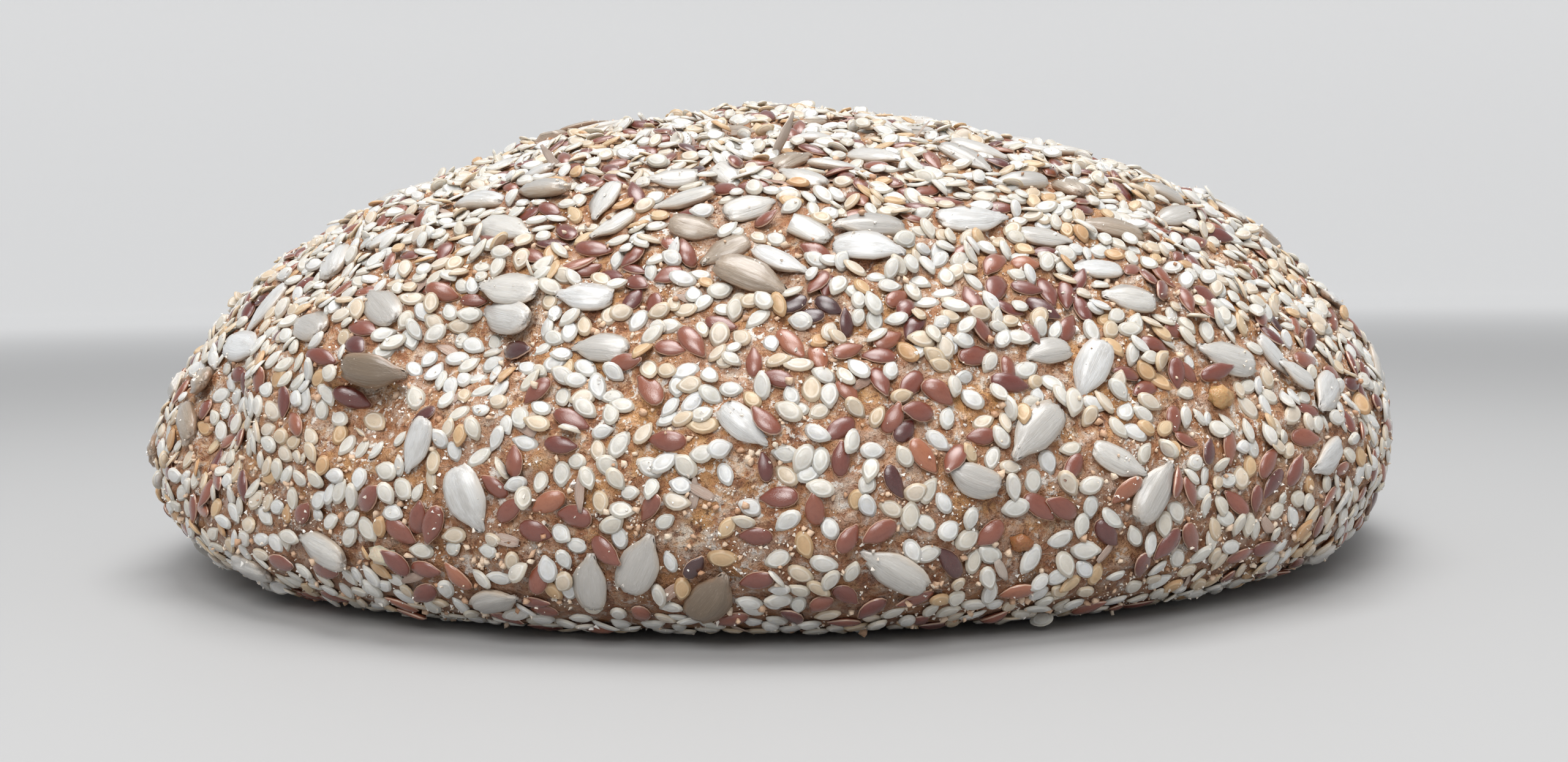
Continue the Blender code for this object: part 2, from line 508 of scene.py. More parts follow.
@dataclass(frozen=True)
class KernelFinish:
    """A hulled sunflower kernel: cream above, streaked along, with painted highlight streaks, soaked brownish below.
    """

    name: str
    shades: tuple[Colour, Colour, Colour]
    under: Colour = (0.48, 0.35, 0.225)
    line: Colour = (0.30, 0.245, 0.20)
    # Painted highlight streaks along the kernel, and its pale frayed ends.
    silver_and_highlight: Colour = (0.69, 0.695, 0.70)
    soaked: float = 0.60
    cloud_share: float = 0.55
    line_share: float = 0.22
    fine_share: float = 0.10
    highlight_share: float = 0.50
    ends_share: float = 0.55
    fading: float = 0.75
    roughness: float = 0.34
    coat: float = 0.60
    coat_roughness: float = 0.20
    line_depth: float = 0.00016
    fine_depth: float = 0.00004

    def make(self) -> bpy.types.Material:
        """Return the material.

        Returns:
            The material.
        """
        graph = Graph(self.name)
        tint, grain, shift = graph.seed_values()
        body = graph.ramp(tint, (0.0, 0.5, 1.0), self.shades)
        cloud = graph.noise(graph.stretch(grain, (0.7, 1.0, 1.0)), 1.7, 3, 0.6, shift)
        body = graph.mix(graph.band(cloud, 0.42, 0.70, self.cloud_share), body, self.shades[2])
        level = graph.sum("MULTIPLY_ADD", cloud, 0.9, graph.axis(grain, "Z"))
        low = graph.rest(graph.band(level, 0.30, 1.15, self.soaked), self.soaked)
        body = graph.mix(low, body, self.under)
        lines = graph.noise(graph.stretch(grain, (0.30, 3.4, 2.6)), 1.8, 3, 0.6, shift)
        fine = graph.noise(graph.stretch(grain, (0.40, 11.0, 8.0)), 2.0, 3, 0.65, shift)
        colour = graph.mix(graph.band(lines, 0.58, 0.70, self.line_share), body, self.line)
        colour = graph.mix(graph.band(fine, 0.60, 0.72, self.fine_share), colour, self.line)
        # Painted highlight streaks along the kernel, fainter on greyer kernels.
        streak = graph.rest(graph.band(fine, 0.34, 0.48, self.highlight_share), self.highlight_share)
        fresh = graph.sum("MULTIPLY_ADD", tint, -self.fading, 1.0)
        colour = graph.mix(graph.sum("MULTIPLY", streak, fresh), colour, self.silver_and_highlight)
        ends = graph.band(graph.sum("ABSOLUTE", graph.axis(grain, "X"), 0.0), 0.80, 1.0, self.ends_share)
        colour = graph.mix(graph.sum("MULTIPLY", ends, graph.band(fine, 0.44, 0.56)), colour, self.silver_and_highlight)
        graph.set(Base_Color=colour, Roughness=self.roughness, Coat_Weight=self.coat,
                  Coat_Roughness=self.coat_roughness, Subsurface_Weight=0.20, Subsurface_Scale=0.0015,
                  Subsurface_Radius=(1.0, 0.8, 0.6))
        ridges = graph.bump(lines, self.line_depth, 0.8)
        graph.set(Normal=graph.bump(fine, self.fine_depth, under=ridges))
        return graph.material


@dataclass(frozen=True)
class HuskFinish:
    """A papery scrap of husk or bran: streaked from pinkish beige to brown."""

    name: str = "husk"
    pale: Colour = (0.64, 0.545, 0.47)
    rosy: Colour = (0.50, 0.335, 0.26)
    brown: Colour = (0.30, 0.14, 0.095)
    stops: tuple[float, ...] = (0.28, 0.44, 0.66)
    roughness: float = 0.50
    streak_depth: float = 0.00025

    def make(self) -> bpy.types.Material:
        """Return the material.

        Returns:
            The material.
        """
        graph = Graph(self.name)
        tint, grain, shift = graph.seed_values()
        streak = graph.noise(graph.stretch(grain, (0.7, 6.0, 6.0)), 2.0, 4, 0.7, shift)
        level = graph.sum("ADD", graph.sum("MULTIPLY", streak, 0.75), graph.sum("MULTIPLY", tint, 0.30))
        colour = graph.ramp(level, self.stops, (self.brown, self.rosy, self.pale))
        graph.set(Base_Color=colour, Roughness=self.roughness, Normal=graph.bump(streak, self.streak_depth, 0.9))
        return graph.material


@dataclass(frozen=True)
class CrumbFinish:
    """Loose crumbs and grits, each a shade of its own."""

    name: str
    shades: tuple[Colour, Colour, Colour]
    roughness: float = 0.7
    glow: float = 0.0
    glow_depth: float = 0.002
    cloud_scale: float = 900
    cloud_share: float = 0.25
    grain_depth: float = 0.0004

    def make(self) -> bpy.types.Material:
        """Return the material.

        Returns:
            The material.
        """
        graph = Graph(self.name)
        colour = graph.ramp(graph.stored("tint").outputs["Fac"], (0.0, 0.5, 1.0), self.shades)
        cloud = graph.noise(graph.place(), self.cloud_scale, 3, 0.6)
        colour = graph.mix(graph.band(cloud, 0.45, 0.75, self.cloud_share), colour, self.shades[2], "MULTIPLY")
        graph.set(Base_Color=colour, Roughness=self.roughness, Normal=graph.bump(cloud, self.grain_depth))
        if self.glow:
            graph.set(Subsurface_Weight=self.glow, Subsurface_Scale=self.glow_depth)
        return graph.material


@dataclass(frozen=True)
class StudioFinish:
    """The plain pale matt of the floor, palest out at the wall."""

    floor: Colour = (0.40, 0.40, 0.40)
    wall: Colour = (0.80, 0.80, 0.80)
    floor_to: float = 0.35
    wall_from: float = 2.0
    glow: float = 0.26
    roughness: float = 0.6

    def make(self) -> bpy.types.Material:
        """Return the material.

        Returns:
            The material.
        """
        graph = Graph("studio_floor")
        out = graph.length(graph.place())
        colour = graph.mix(graph.band(out, self.floor_to, self.wall_from), self.floor, self.wall)
        glow = graph.band(out, self.floor_to, self.wall_from, self.glow)
        graph.set(Base_Color=colour, Roughness=self.roughness, Emission_Color=self.wall, Emission_Strength=glow)
        return graph.material


# ---------------------------------------------------------------- camera, light and floor


@dataclass(frozen=True)
class PhotoCamera:
    """The camera that took the picture: its lens, its stand, and the sight line through any pixel of it."""

    width: float = 2560
    height: float = 1244
    focal: float = 2650
    sensor: float = 36
    across: float = 0.00109
    distance: float = 0.3049
    level: float = 0.0483
    pitch: float = math.radians(3.71)
    roll: float = math.radians(-0.84)
    nearest: float = 0.01

    def stand(self) -> Matrix:
        """Return the camera's place and turn."""
        place = Matrix.Translation((self.across, -self.distance, self.level))
        return place @ Matrix.Rotation(math.pi / 2 - self.pitch, 4, "X") @ Matrix.Rotation(self.roll, 4, "Z")

    def build(self) -> bpy.types.Object:
        """Put the camera in the scene and look through it.

        Returns:
            The camera.
        """
        lens = bpy.data.cameras.new("camera")
        lens.sensor_width = self.sensor
        lens.lens = self.sensor * self.focal / self.width
        lens.clip_start = self.nearest
        camera = bpy.data.objects.new("camera", lens)
        bpy.context.collection.objects.link(camera)
        camera.matrix_world = self.stand()
        bpy.context.scene.camera = camera
        return camera

    def sight(self, pixel: tuple[float, float]) -> tuple[Vector, Vector]:
        """Return the sight line through a pixel.

        Args:
            pixel: Its column and row, from the picture's upper left corner.

        Returns:
            The line's start and its direction.
        """
        stand = self.stand()
        across = (pixel[0] - self.width / 2) / self.focal
        down = (pixel[1] - self.height / 2) / self.focal
        return stand.translation, (stand.to_3x3() @ Vector((across, -down, -1))).normalized()


@dataclass(frozen=True)
class Studio:
    """A wide pale floor that turns up all round into a plain wall, with soft lamps and a pale room above."""

    radius: float = 3.4
    sides: int = 96
    rise: float = 1.3
    bend: float = 0.6
    bend_steps: int = 12
    finish: StudioFinish = StudioFinish()
    room: Colour = (0.965, 0.98, 1.0)
    room_light: float = 0.50
    lamp_shade: Colour = (1.0, 0.995, 0.99)
    lamp_light: float = 5.65
    lamp_side: float = 0.50
    lamp_place: Triple = (0.03, -0.05, 0.80)
    front_light: float = 5.85
    front_side: float = 0.46
    front_place: Triple = (-0.12, -0.74, 0.66)

    def build(self) -> None:
        """Make the floor, the room's light and the lamps."""
        self.floor()
        self.sky()
        self.lamp("overhead", self.lamp_place, self.lamp_side, self.lamp_light)
        self.lamp("front", self.front_place, self.front_side, self.front_light)

    def floor(self) -> None:
        """Model the floor: a round sheet whose rim is drawn up into a wall, with a rounded foot."""
        bpy.ops.mesh.primitive_circle_add(vertices=self.sides, radius=self.radius, fill_type="NGON")
        sheet = bpy.context.object
        sheet.name = "studio_floor"
        with edit_mode(sheet):
            bpy.ops.mesh.select_all(action="DESELECT")
            bpy.ops.mesh.select_mode(type="EDGE")
            bpy.ops.mesh.select_all(action="SELECT")
            bpy.ops.mesh.region_to_loop()
            bpy.ops.mesh.extrude_edges_move(TRANSFORM_OT_translate={"value": (0, 0, self.rise)})
            pick(lambda point: point.z < self.rise / 2)
            bpy.ops.mesh.bevel(offset=self.bend, segments=self.bend_steps, affect="EDGES")
        sheet.data.shade_smooth()
        sheet.data.materials.append(self.finish.make())

    def sky(self) -> None:
        """Fill the room with even light."""
        world = bpy.data.worlds.new("room")
        world.use_nodes = True
        air = world.node_tree.nodes["Background"]
        air.inputs["Color"].default_value = (*self.room, 1.0)
        air.inputs["Strength"].default_value = self.room_light
        bpy.context.scene.world = world
        bpy.context.scene.view_settings.view_transform = "Standard"

    def lamp(self, name: str, place: Triple, side: float, light: float) -> None:
        """Hang a square soft lamp that faces the loaf.

        Args:
            name: The lamp's name.
            place: Where it hangs.
            side: The length of its side.
            light: Its power in watts.
        """
        glow = bpy.data.lights.new(name, "AREA")
        glow.energy = light
        glow.size = side
        glow.color = self.lamp_shade
        lamp = bpy.data.objects.new(name, glow)
        bpy.context.collection.objects.link(lamp)
        turn = Vector(place).to_track_quat("Z", "Y").to_matrix().to_4x4()
        lamp.matrix_world = Matrix.Translation(place) @ turn


# ---------------------------------------------------------------- the crust


@dataclass(frozen=True)
class Press:
    """A place where the dough was pushed: a line, the push, how far it draws the dough along, and its width."""

    start: Vector
    end: Vector
    push: Vector
    reach: float

    def distance(self, point: Vector) -> float:
        """Return how far a point is from the line.

        Args:
            point: Any point.

        Returns:
            Its distance from the line, in metres.
        """
        along = self.end - self.start
        share = min(1.0, max(0.0, (point - self.start).dot(along) / along.length_squared))
        return (point - self.start - share * along).length


@dataclass
class Crust:
    """The bare loaf: the solid's own section, drawn up ring by ring, swollen, creased and roughened."""

    width: float = 0.2176
    depth: float = 0.2110
    height: float = 0.0776
    widest: float = 0.0150
    foot_share: float = 0.81
    bulge: float = 2.05
    shoulder: float = 1.88
    sides: int = 56
    underside_rings: int = 4
    dome_rings: int = 20
    uneven_scale: float = 0.034
    uneven_depth: float = 0.0046
    flat_below: float = 0.002
    uneven_from: float = 0.014
    lump_scale: float = 0.0075
    lump_depth: float = 0.0021
    pore_scale: float = 0.0026
    pore_depth: float = 0.0021
    press_width: float = 0.0022
    crease: Line = ((-0.082, -0.064, 0.027), (-0.042, -0.087, 0.040))
    crease_depth: float = 0.0042
    crease_reach: float = 0.013
    lip_above: float = 0.010
    lip_height: float = 0.0016
    lip_reach: float = 0.016
    slump: Line = ((0.082, -0.060, 0.010), (0.104, 0, 0.010))
    slump_out: float = 0.0022
    slump_reach: float = 0.018
    hollow: Line = ((-0.0578, -0.0850, 0.0300), (-0.0520, -0.0870, 0.0296))
    hollow_push: Triple = (0.0020, 0.0052, 0.0034)
    hollow_reach: float = 0.0050
    finish: CrustFinish = CrustFinish()

    def section(self) -> list[tuple[float, float]]:
        """Return the half section from the foot's edge up to just under the crown, as (radius, height).

        Returns:
            The radius and the height of each ring, from the foot's edge up to just under the crown.
        """
        rings = []
        for ring in range(self.underside_rings, 0, -1):
            turn = 0.5 * math.pi * ring / self.underside_rings
            reach = self.foot_share + (1 - self.foot_share) * math.cos(turn)
            rings.append((reach * self.width / 2, self.widest * (1 - math.sin(turn))))
        for ring in range(self.dome_rings, 0, -1):
            rise = math.cos(0.5 * math.pi * ring / self.dome_rings)
            reach = (1 - rise**self.bulge) ** (1 / self.shoulder)
            rings.append((reach * self.width / 2, self.widest + (self.height - self.widest) * rise))
        return rings

    def presses(self) -> list[Press]:
        """Return the crease, the lip of dough over it, the slump low on the right, and the fold.

        Returns:
            The pushes, in the order they are made.
        """
        start, end = map(Vector, self.crease)
        over = Vector((0, 0, self.lip_above))
        outward = (start + end).normalized()
        slump_from, slump_to = map(Vector, self.slump)
        sideways = ((slump_from + slump_to) * Vector((1, 1, 0))).normalized()
        return [
            Press(start, end, -self.crease_depth * outward, self.crease_reach),
            Press(start + over, end + over, self.lip_height * outward, self.lip_reach),
            Press(slump_from, slump_to, self.slump_out * sideways, self.slump_reach),
            self.fold(),
        ]

    def fold(self) -> Press:
        """Return the deep dark fold: the hollow under the brown kernel on the left, and its tail."""
        return Press(Vector(self.hollow[0]), Vector(self.hollow[1]), Vector(self.hollow_push), self.hollow_reach)

    def draw_up(self) -> bpy.types.Object:
        """Start from the round foot and draw its rim up ring by ring to the crown.

        Returns:
            The plain dome.
        """
        rings = self.section()
        radius, level = rings[0]
        bpy.ops.object.select_all(action="DESELECT")
        bpy.ops.mesh.primitive_circle_add(vertices=self.sides, radius=radius, fill_type="TRIFAN")
        loaf = bpy.context.object
        loaf.name = "crust"
        with edit_mode(loaf):
            pick(lambda point: point.length > radius / 2)
            for next_radius, next_level in rings[1:]:
                rise = (0, 0, next_level - level)
                bpy.ops.mesh.extrude_edges_move(TRANSFORM_OT_translate={"value": rise})
                share = next_radius / radius
                bpy.ops.transform.resize(value=(share, share, 1), center_override=(0, 0, next_level))
                radius, level = next_radius, next_level
            crown = (0, 0, self.height - level)
            bpy.ops.mesh.extrude_edges_move(TRANSFORM_OT_translate={"value": crown})
            bpy.ops.mesh.merge(type="CENTER")
            bpy.ops.mesh.select_all(action="SELECT")
            bpy.ops.transform.resize(value=(1, self.depth / self.width, 1), center_override=(0, 0, 0))
            bpy.ops.mesh.normals_make_consistent(inside=False)
        fix_order(loaf)
        return loaf

    def above_foot(self, loaf: bpy.types.Object) -> str:
        """Mark how much each point may swell: not at all on the foot, fully above the underside.

        Args:
            loaf: The loaf to mark.

        Returns:
            The name of the group of marked points.
        """
        group = loaf.vertex_groups.get("above_foot") or loaf.vertex_groups.new(name="above_foot")
        for point in loaf.data.vertices:
            share = (point.co.z - self.flat_below) / (self.uneven_from - self.flat_below)
            group.add([point.index], smooth_step(share), "REPLACE")
        return group.name

    def ruffle(self, loaf: bpy.types.Object, name: str, scale: float, depth: float, detail: int) -> None:
        """Raise and sink the surface by soft noise of one size.

        Args:
            loaf: The loaf.
            name: What the noise is called.
            scale: How wide its swellings are.
            depth: How high they are.
            detail: How many finer layers they have.
        """
        clouds = bpy.data.textures.new(name, "CLOUDS")
        clouds.noise_scale = scale
        clouds.noise_depth = detail
        swell = loaf.modifiers.new(name, "DISPLACE")
        swell.texture = clouds
        swell.texture_coords = "LOCAL"
        swell.strength = depth
        swell.vertex_group = self.above_foot(loaf)
        finish_modifiers(loaf)

    def smooth(self, loaf: bpy.types.Object, levels: int) -> None:
        """Divide the surface and round it.

        Args:
            loaf: The loaf.
            levels: How many times each face is divided.
        """
        rounding = loaf.modifiers.new("rounding", "SUBSURF")
        rounding.levels = levels
        rounding.render_levels = levels
        finish_modifiers(loaf)

    def press(self, loaf: bpy.types.Object) -> None:
        """Push in the crease and the fold, and pull out the lip and the slump.

        Args:
            loaf: The loaf.
        """
        for press in self.presses():
            with edit_mode(loaf):
                pick(lambda point: press.distance(point) < self.press_width)
                pull(press.push, press.reach)

    def build(self) -> tuple[bpy.types.Object, bpy.types.Object]:
        """Model the crust.

        Returns:
            The crust, and a smooth copy of its dough, on which seeds are aimed.
        """
        loaf = self.draw_up()
        self.smooth(loaf, 1)
        self.ruffle(loaf, "dough", self.uneven_scale, self.uneven_depth, 1)
        self.smooth(loaf, 1)
        self.press(loaf)
        dough = loaf.copy()
        dough.data = loaf.data.copy()
        dough.name = "dough"
        bpy.context.collection.objects.link(dough)
        self.smooth(loaf, 1)
        self.ruffle(loaf, "lumps", self.lump_scale, self.lump_depth, 2)
        self.ruffle(loaf, "pores", self.pore_scale, self.pore_depth, 2)
        loaf.data.shade_smooth()
        loaf.data.materials.append(self.finish.make())
        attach(loaf, BODY)
        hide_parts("loaf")
        return loaf, dough


# ---------------------------------------------------------------- seeds, modelled once


@dataclass(frozen=True)
class Cast:
    """A modelled seed as arrays: its points, where each lies along its grain, and its faces."""

    points: np.ndarray
    grain: np.ndarray
    corners: np.ndarray
    sides: np.ndarray

    @classmethod
    def of(cls, piece: bpy.types.Object) -> Cast:
        """Read a model, and clear it away.

        Args:
            piece: The model.

        Returns:
            Its cast.
        """
        mesh = piece.data
        points = np.empty(len(mesh.vertices) * 3)
        mesh.vertices.foreach_get("co", points)
        grain = np.empty(len(mesh.vertices) * 3)
        mesh.attributes["grain"].data.foreach_get("vector", grain)
        corners = np.empty(len(mesh.loops), int)
        mesh.loops.foreach_get("vertex_index", corners)
        sides = np.empty(len(mesh.polygons), int)
        mesh.polygons.foreach_get("loop_total", sides)
        bpy.data.objects.remove(piece)
        return cls(points.reshape(-1, 3), grain.reshape(-1, 3), corners, sides)


@dataclass(frozen=True)
class Mould:
    """A seed modelled once, its half length being 1, its tip at +X and its broad face up."""

    segments: int = 12
    rings: int = 6
    wide: float = 0.6
    thick: float = 0.27
    poles_along: bool = False

    def model(self) -> Cast:
        """Start from a ball, mark its grain, and shape it.

        Returns:
            The seed's cast.
        """
        bpy.ops.object.select_all(action="DESELECT")
        turn = (0, math.pi / 2, 0) if self.poles_along else (0, 0, 0)
        bpy.ops.mesh.primitive_uv_sphere_add(
            segments=self.segments, ring_count=self.rings, radius=1, rotation=turn)
        bpy.ops.object.transform_apply(rotation=True)
        piece = bpy.context.object
        mark_grain(piece)
        with edit_mode(piece):
            bpy.ops.transform.resize(value=(1, self.wide, self.thick), center_override=(0, 0, 0))
            self.shape()
            bpy.ops.mesh.select_all(action="SELECT")
            bpy.ops.mesh.normals_make_consistent(inside=False)
        return Cast.of(piece)

    def shape(self) -> None:
        """Leave a plain lens."""

    def flatten_below(self, level: float) -> None:
        """Take off the points below a level, and leave the underside one flat face."""
        pick(lambda point: point.z < level)
        bpy.ops.mesh.dissolve_verts()

    def taper(self, start: float, scale: Triple, reach: float) -> None:
        """Scale the end beyond a place along the length: the tip, or the heel where the place is behind."""
        pick(lambda point: point.x > start if start > 0 else point.x < start)
        squeeze(scale, (start, 0, 0), reach)

    def draw_out(self, start: float, value: Triple, reach: float) -> None:
        """Move the end beyond a place along the length, in the same way."""
        pick(lambda point: point.x > start if start > 0 else point.x < start)
        pull(value, reach)


def mark_grain(piece: bpy.types.Object) -> None:
    """Store each point's place on the unshaped ball, which the finish follows.

    Args:
        piece: The unshaped ball or sheet.
    """
    grain = piece.data.attributes.new("grain", "FLOAT_VECTOR", "POINT")
    for point, mark in zip(piece.data.vertices, grain.data):
        mark.vector = point.co


@dataclass(frozen=True)
class SesameMould(Mould):
    """A sesame seed: a flat teardrop, level or dished on top, with a thin edge."""

    segments: int = 14
    rings: int = 5
    wide: float = 0.66
    thick: float = 0.22
    dish: float = 0.0
    point: float = 0.68
    edge_ring: float = math.radians(18)
    face_ring: float = math.radians(54)
    edge_spread: Triple = (1.05, 1.05, 0.55)
    face_spread: Triple = (1.18, 1.18, 0.95)

    def shape(self) -> None:
        """Thin the edge, spread the flat face, level or dish it, then draw out the tip and fill the heel."""
        edge = math.sin(self.edge_ring) * self.thick
        face = math.sin(self.face_ring) * self.thick
        self.flatten_below(-1.5 * edge)
        pick(lambda point: abs(point.z) < 1.2 * edge)
        bpy.ops.transform.resize(value=self.edge_spread, center_override=(0, 0, 0))
        pick(lambda point: 0.9 * face < point.z < 1.1 * face)
        bpy.ops.transform.resize(value=self.face_spread, center_override=(0, 0, 0))
        pick(lambda point: point.z > 0.97 * self.thick)
        bpy.ops.transform.resize(value=(1, 1, 0.96 - self.dish), center_override=(0, 0, 0))
        self.taper(0.84, (1.0, self.point, 0.90), 1.0)
        self.draw_out(0.97, (0.05, 0, 0), 0.3)
        self.taper(-0.8, (1.0, 1.05, 1.0), 0.5)


@dataclass(frozen=True)
class FlaxMould(Mould):
    """A flax seed: a smooth flat drop with a thin edge and a beaked tip."""

    segments: int = 14
    wide: float = 0.55
    thick: float = 0.25

    def shape(self) -> None:
        """Narrow the tip, turn it aside a little, and fill the heel."""
        self.flatten_below(-0.6 * self.thick)
        self.taper(0.84, (1.0, 0.66, 0.80), 0.80)
        self.draw_out(0.97, (0.10, 0.04, 0), 0.3)
        self.taper(-0.7, (1.0, 1.08, 1.0), 0.6)


class KernelCut(Enum):
    """How a kernel came out of its hull."""

    WHOLE = "whole"
    SLENDER = "slender"
    SPLIT = "split"
    BROKEN = "broken"


@dataclass(frozen=True)
class KernelMould(Mould):
    """A hulled sunflower kernel: a flat drop with ridges along it, a frayed sharp tip and a blunt heel.

    The ridges are lines along the kernel, each with its turn about the length from the right edge, in
    degrees, and how far it stands out, or in where it is under 1.
    """

    segments: int = 20
    rings: int = 12
    wide: float = 0.50
    thick: float = 0.24
    poles_along: bool = True
    cut: KernelCut = KernelCut.WHOLE
    ridges: tuple[tuple[int, float], ...] = (
        (108, 1.12), (90, 1.02), (72, 0.90), (54, 1.08), (36, 0.98), (18, 1.04), (126, 0.97), (144, 0.88), (162, 1.07))
    line_width: float = 5
    fray: float = 0.045
    narrowed: Triple = (1, -0.80, 0.95)
    lip: float = 0.05
    hollow: float = -0.02
    batch: int = 3

    def shape(self) -> None:
        """Raise the ridges, taper and fray the tip, blunt the heel, and cut the kernel where it broke or split."""
        for turn, swell in self.ridges:
            pick(lambda point: self.on_line(point, turn) and abs(point.x) < 0.92)
            bpy.ops.transform.resize(value=(1, swell, swell), center_override=(0, 0, 0))
        self.taper(0.75, (1.0, 0.66, 0.72), 0.7)
        self.draw_out(0.98, (0.10, 0.0, -0.05), 0.25)
        self.taper(-0.6, (1.0, 1.08, 1.06), 0.6)
        self.draw_out(-0.94, (0.10, 0, 0), 0.2)
        pick(lambda point: abs(point.x) > 0.86)
        bpy.ops.transform.vertex_random(offset=self.fray, uniform=0.8, normal=0.2, seed=self.batch)
        if self.cut is KernelCut.SLENDER:
            bpy.ops.mesh.select_all(action="SELECT")
            bpy.ops.transform.resize(value=self.narrowed, center_override=(0, 0, 0))
        if self.cut is KernelCut.BROKEN:
            self.part((0.36, 0, 0), (1.0, 0.35, 0.2))
        if self.cut is KernelCut.SPLIT:
            self.part((0, 0.04, 0.05), (0.05, 0.35, 1.0))

    def on_line(self, point: Vector, turn: int) -> bool:
        """Tell whether a point lies on the line along the kernel at a turn about its length."""
        found = math.degrees(math.atan2(point.z / self.thick, point.y / self.wide))
        return abs(found - turn) < self.line_width

    def part(self, place: Triple, normal: Triple) -> None:
        """Cut away what lies beyond a plane, and close the face with a narrow lip.

        Args:
            place: A place on the plane.
            normal: The way to the side that is cut away.
        """
        bpy.ops.mesh.select_all(action="SELECT")
        bpy.ops.mesh.bisect(plane_co=place, plane_no=normal, use_fill=True, clear_outer=True)
        bpy.ops.mesh.select_mode(type="FACE")
        bpy.ops.mesh.inset(thickness=self.lip, depth=self.hollow)


@dataclass(frozen=True)
class HuskMould(Mould):
    """A scrap of husk or bran: a thin curled sheet with a torn edge."""

    cuts_along: int = 6
    cuts: int = 3
    wide: float = 0.42
    thick: float = 0.035

    def model(self) -> Cast:
        """Start from a sheet, curl it and give it its thickness.

        Returns:
            The scrap's cast.
        """
        bpy.ops.object.select_all(action="DESELECT")
        bpy.ops.mesh.primitive_grid_add(x_subdivisions=self.cuts_along, y_subdivisions=self.cuts, size=2)
        piece = bpy.context.object
        mark_grain(piece)
        with edit_mode(piece):
            bpy.ops.transform.resize(value=(1, self.wide, 1), center_override=(0, 0, 0))
            pick(lambda point: point.x > 0.9)
            squeeze((1, 0.35, 1), (1, 0, 0), 0.8)
            pick(lambda point: point.x < -0.9)
            squeeze((1, 0.6, 1), (-1, 0, 0), 0.5)
            pick(lambda point: abs(point.y) > 0.9 * self.wide)
            pull((0, 0, 0.12), 0.5)
            pick(lambda point: point.x > 0.5 and point.y > 0)
            pull((0.05, 0.05, 0.10), 0.5)
        wall = piece.modifiers.new("wall", "SOLIDIFY")
        wall.thickness = 2 * self.thick
        finish_modifiers(piece)
        return Cast.of(piece)


@dataclass(frozen=True)
class CrumbMould(Mould):
    """A crumb: a small dented lump."""

    segments: int = 4
    rings: int = 3
    dent: float = 0.45
    wide: float = 0.9
    thick: float = 0.7
    batch: int = 7

    def start(self) -> None:
        """Put down the ball that the crumb is dented from."""
        bpy.ops.mesh.primitive_uv_sphere_add(segments=self.segments, ring_count=self.rings, radius=1)

    def model(self) -> Cast:
        """Start from a plain lump and push its points in and out.

        Returns:
            The crumb's cast.
        """
        bpy.ops.object.select_all(action="DESELECT")
        self.start()
        piece = bpy.context.object
        mark_grain(piece)
        with edit_mode(piece):
            bpy.ops.transform.vertex_random(offset=self.dent, uniform=0.6, normal=0.3, seed=self.batch)
            bpy.ops.transform.resize(value=(1, self.wide, self.thick), center_override=(0, 0, 0))
        return Cast.of(piece)


@dataclass(frozen=True)
class FlakeMould(CrumbMould):
    """A flake of dried flour: a sharp-edged chip."""

    dent: float = 0.60
    thick: float = 0.75
    corners: int = 5
    depth: float = 1.3

    def start(self) -> None:
        """Put down the wedge that the flake is chipped from."""
        bpy.ops.mesh.primitive_cone_add(vertices=self.corners, radius1=1, depth=self.depth)


# ---------------------------------------------------------------- laying seeds down


@dataclass
class Seed:
    """One seed as laid: its middle, its axes as columns, its half sizes, and its own shade and bend."""

    middle: np.ndarray
    axes: np.ndarray
    half: np.ndarray
    tint: float = 0.5
    bend: float = 0.0
    curve: float = 0.0
    mould: int = 0


@dataclass(frozen=True)
class Kind:
    """What one kind of seed measures, and how it lies: length, how far it sinks in, and what it may cover."""

    length: float
    wide: float
    thick: float
    spread: float = 0.10
    sink: float = 0.30
    room: float = 0.15
    steepest: float = math.radians(34)
    restless: float = 0.09
    on_edge: float = 0.0


@dataclass(frozen=True)
class Heaps:
    """How crumbs of one kind lie: in how many heaps, how many in each, how wide, and which share stays on seeds."""

    count: int
    most: int
    smallest: float
    largest: float
    stays: float
    closest: float = 0.0005
    widest: float = 0.0026
    lowest: float = 0.0008


@dataclass(frozen=True)
class Patch:
    """A place where seeds lie thinner or thicker than around it."""

    pixel: tuple[float, float]
    radius: float
    share: float


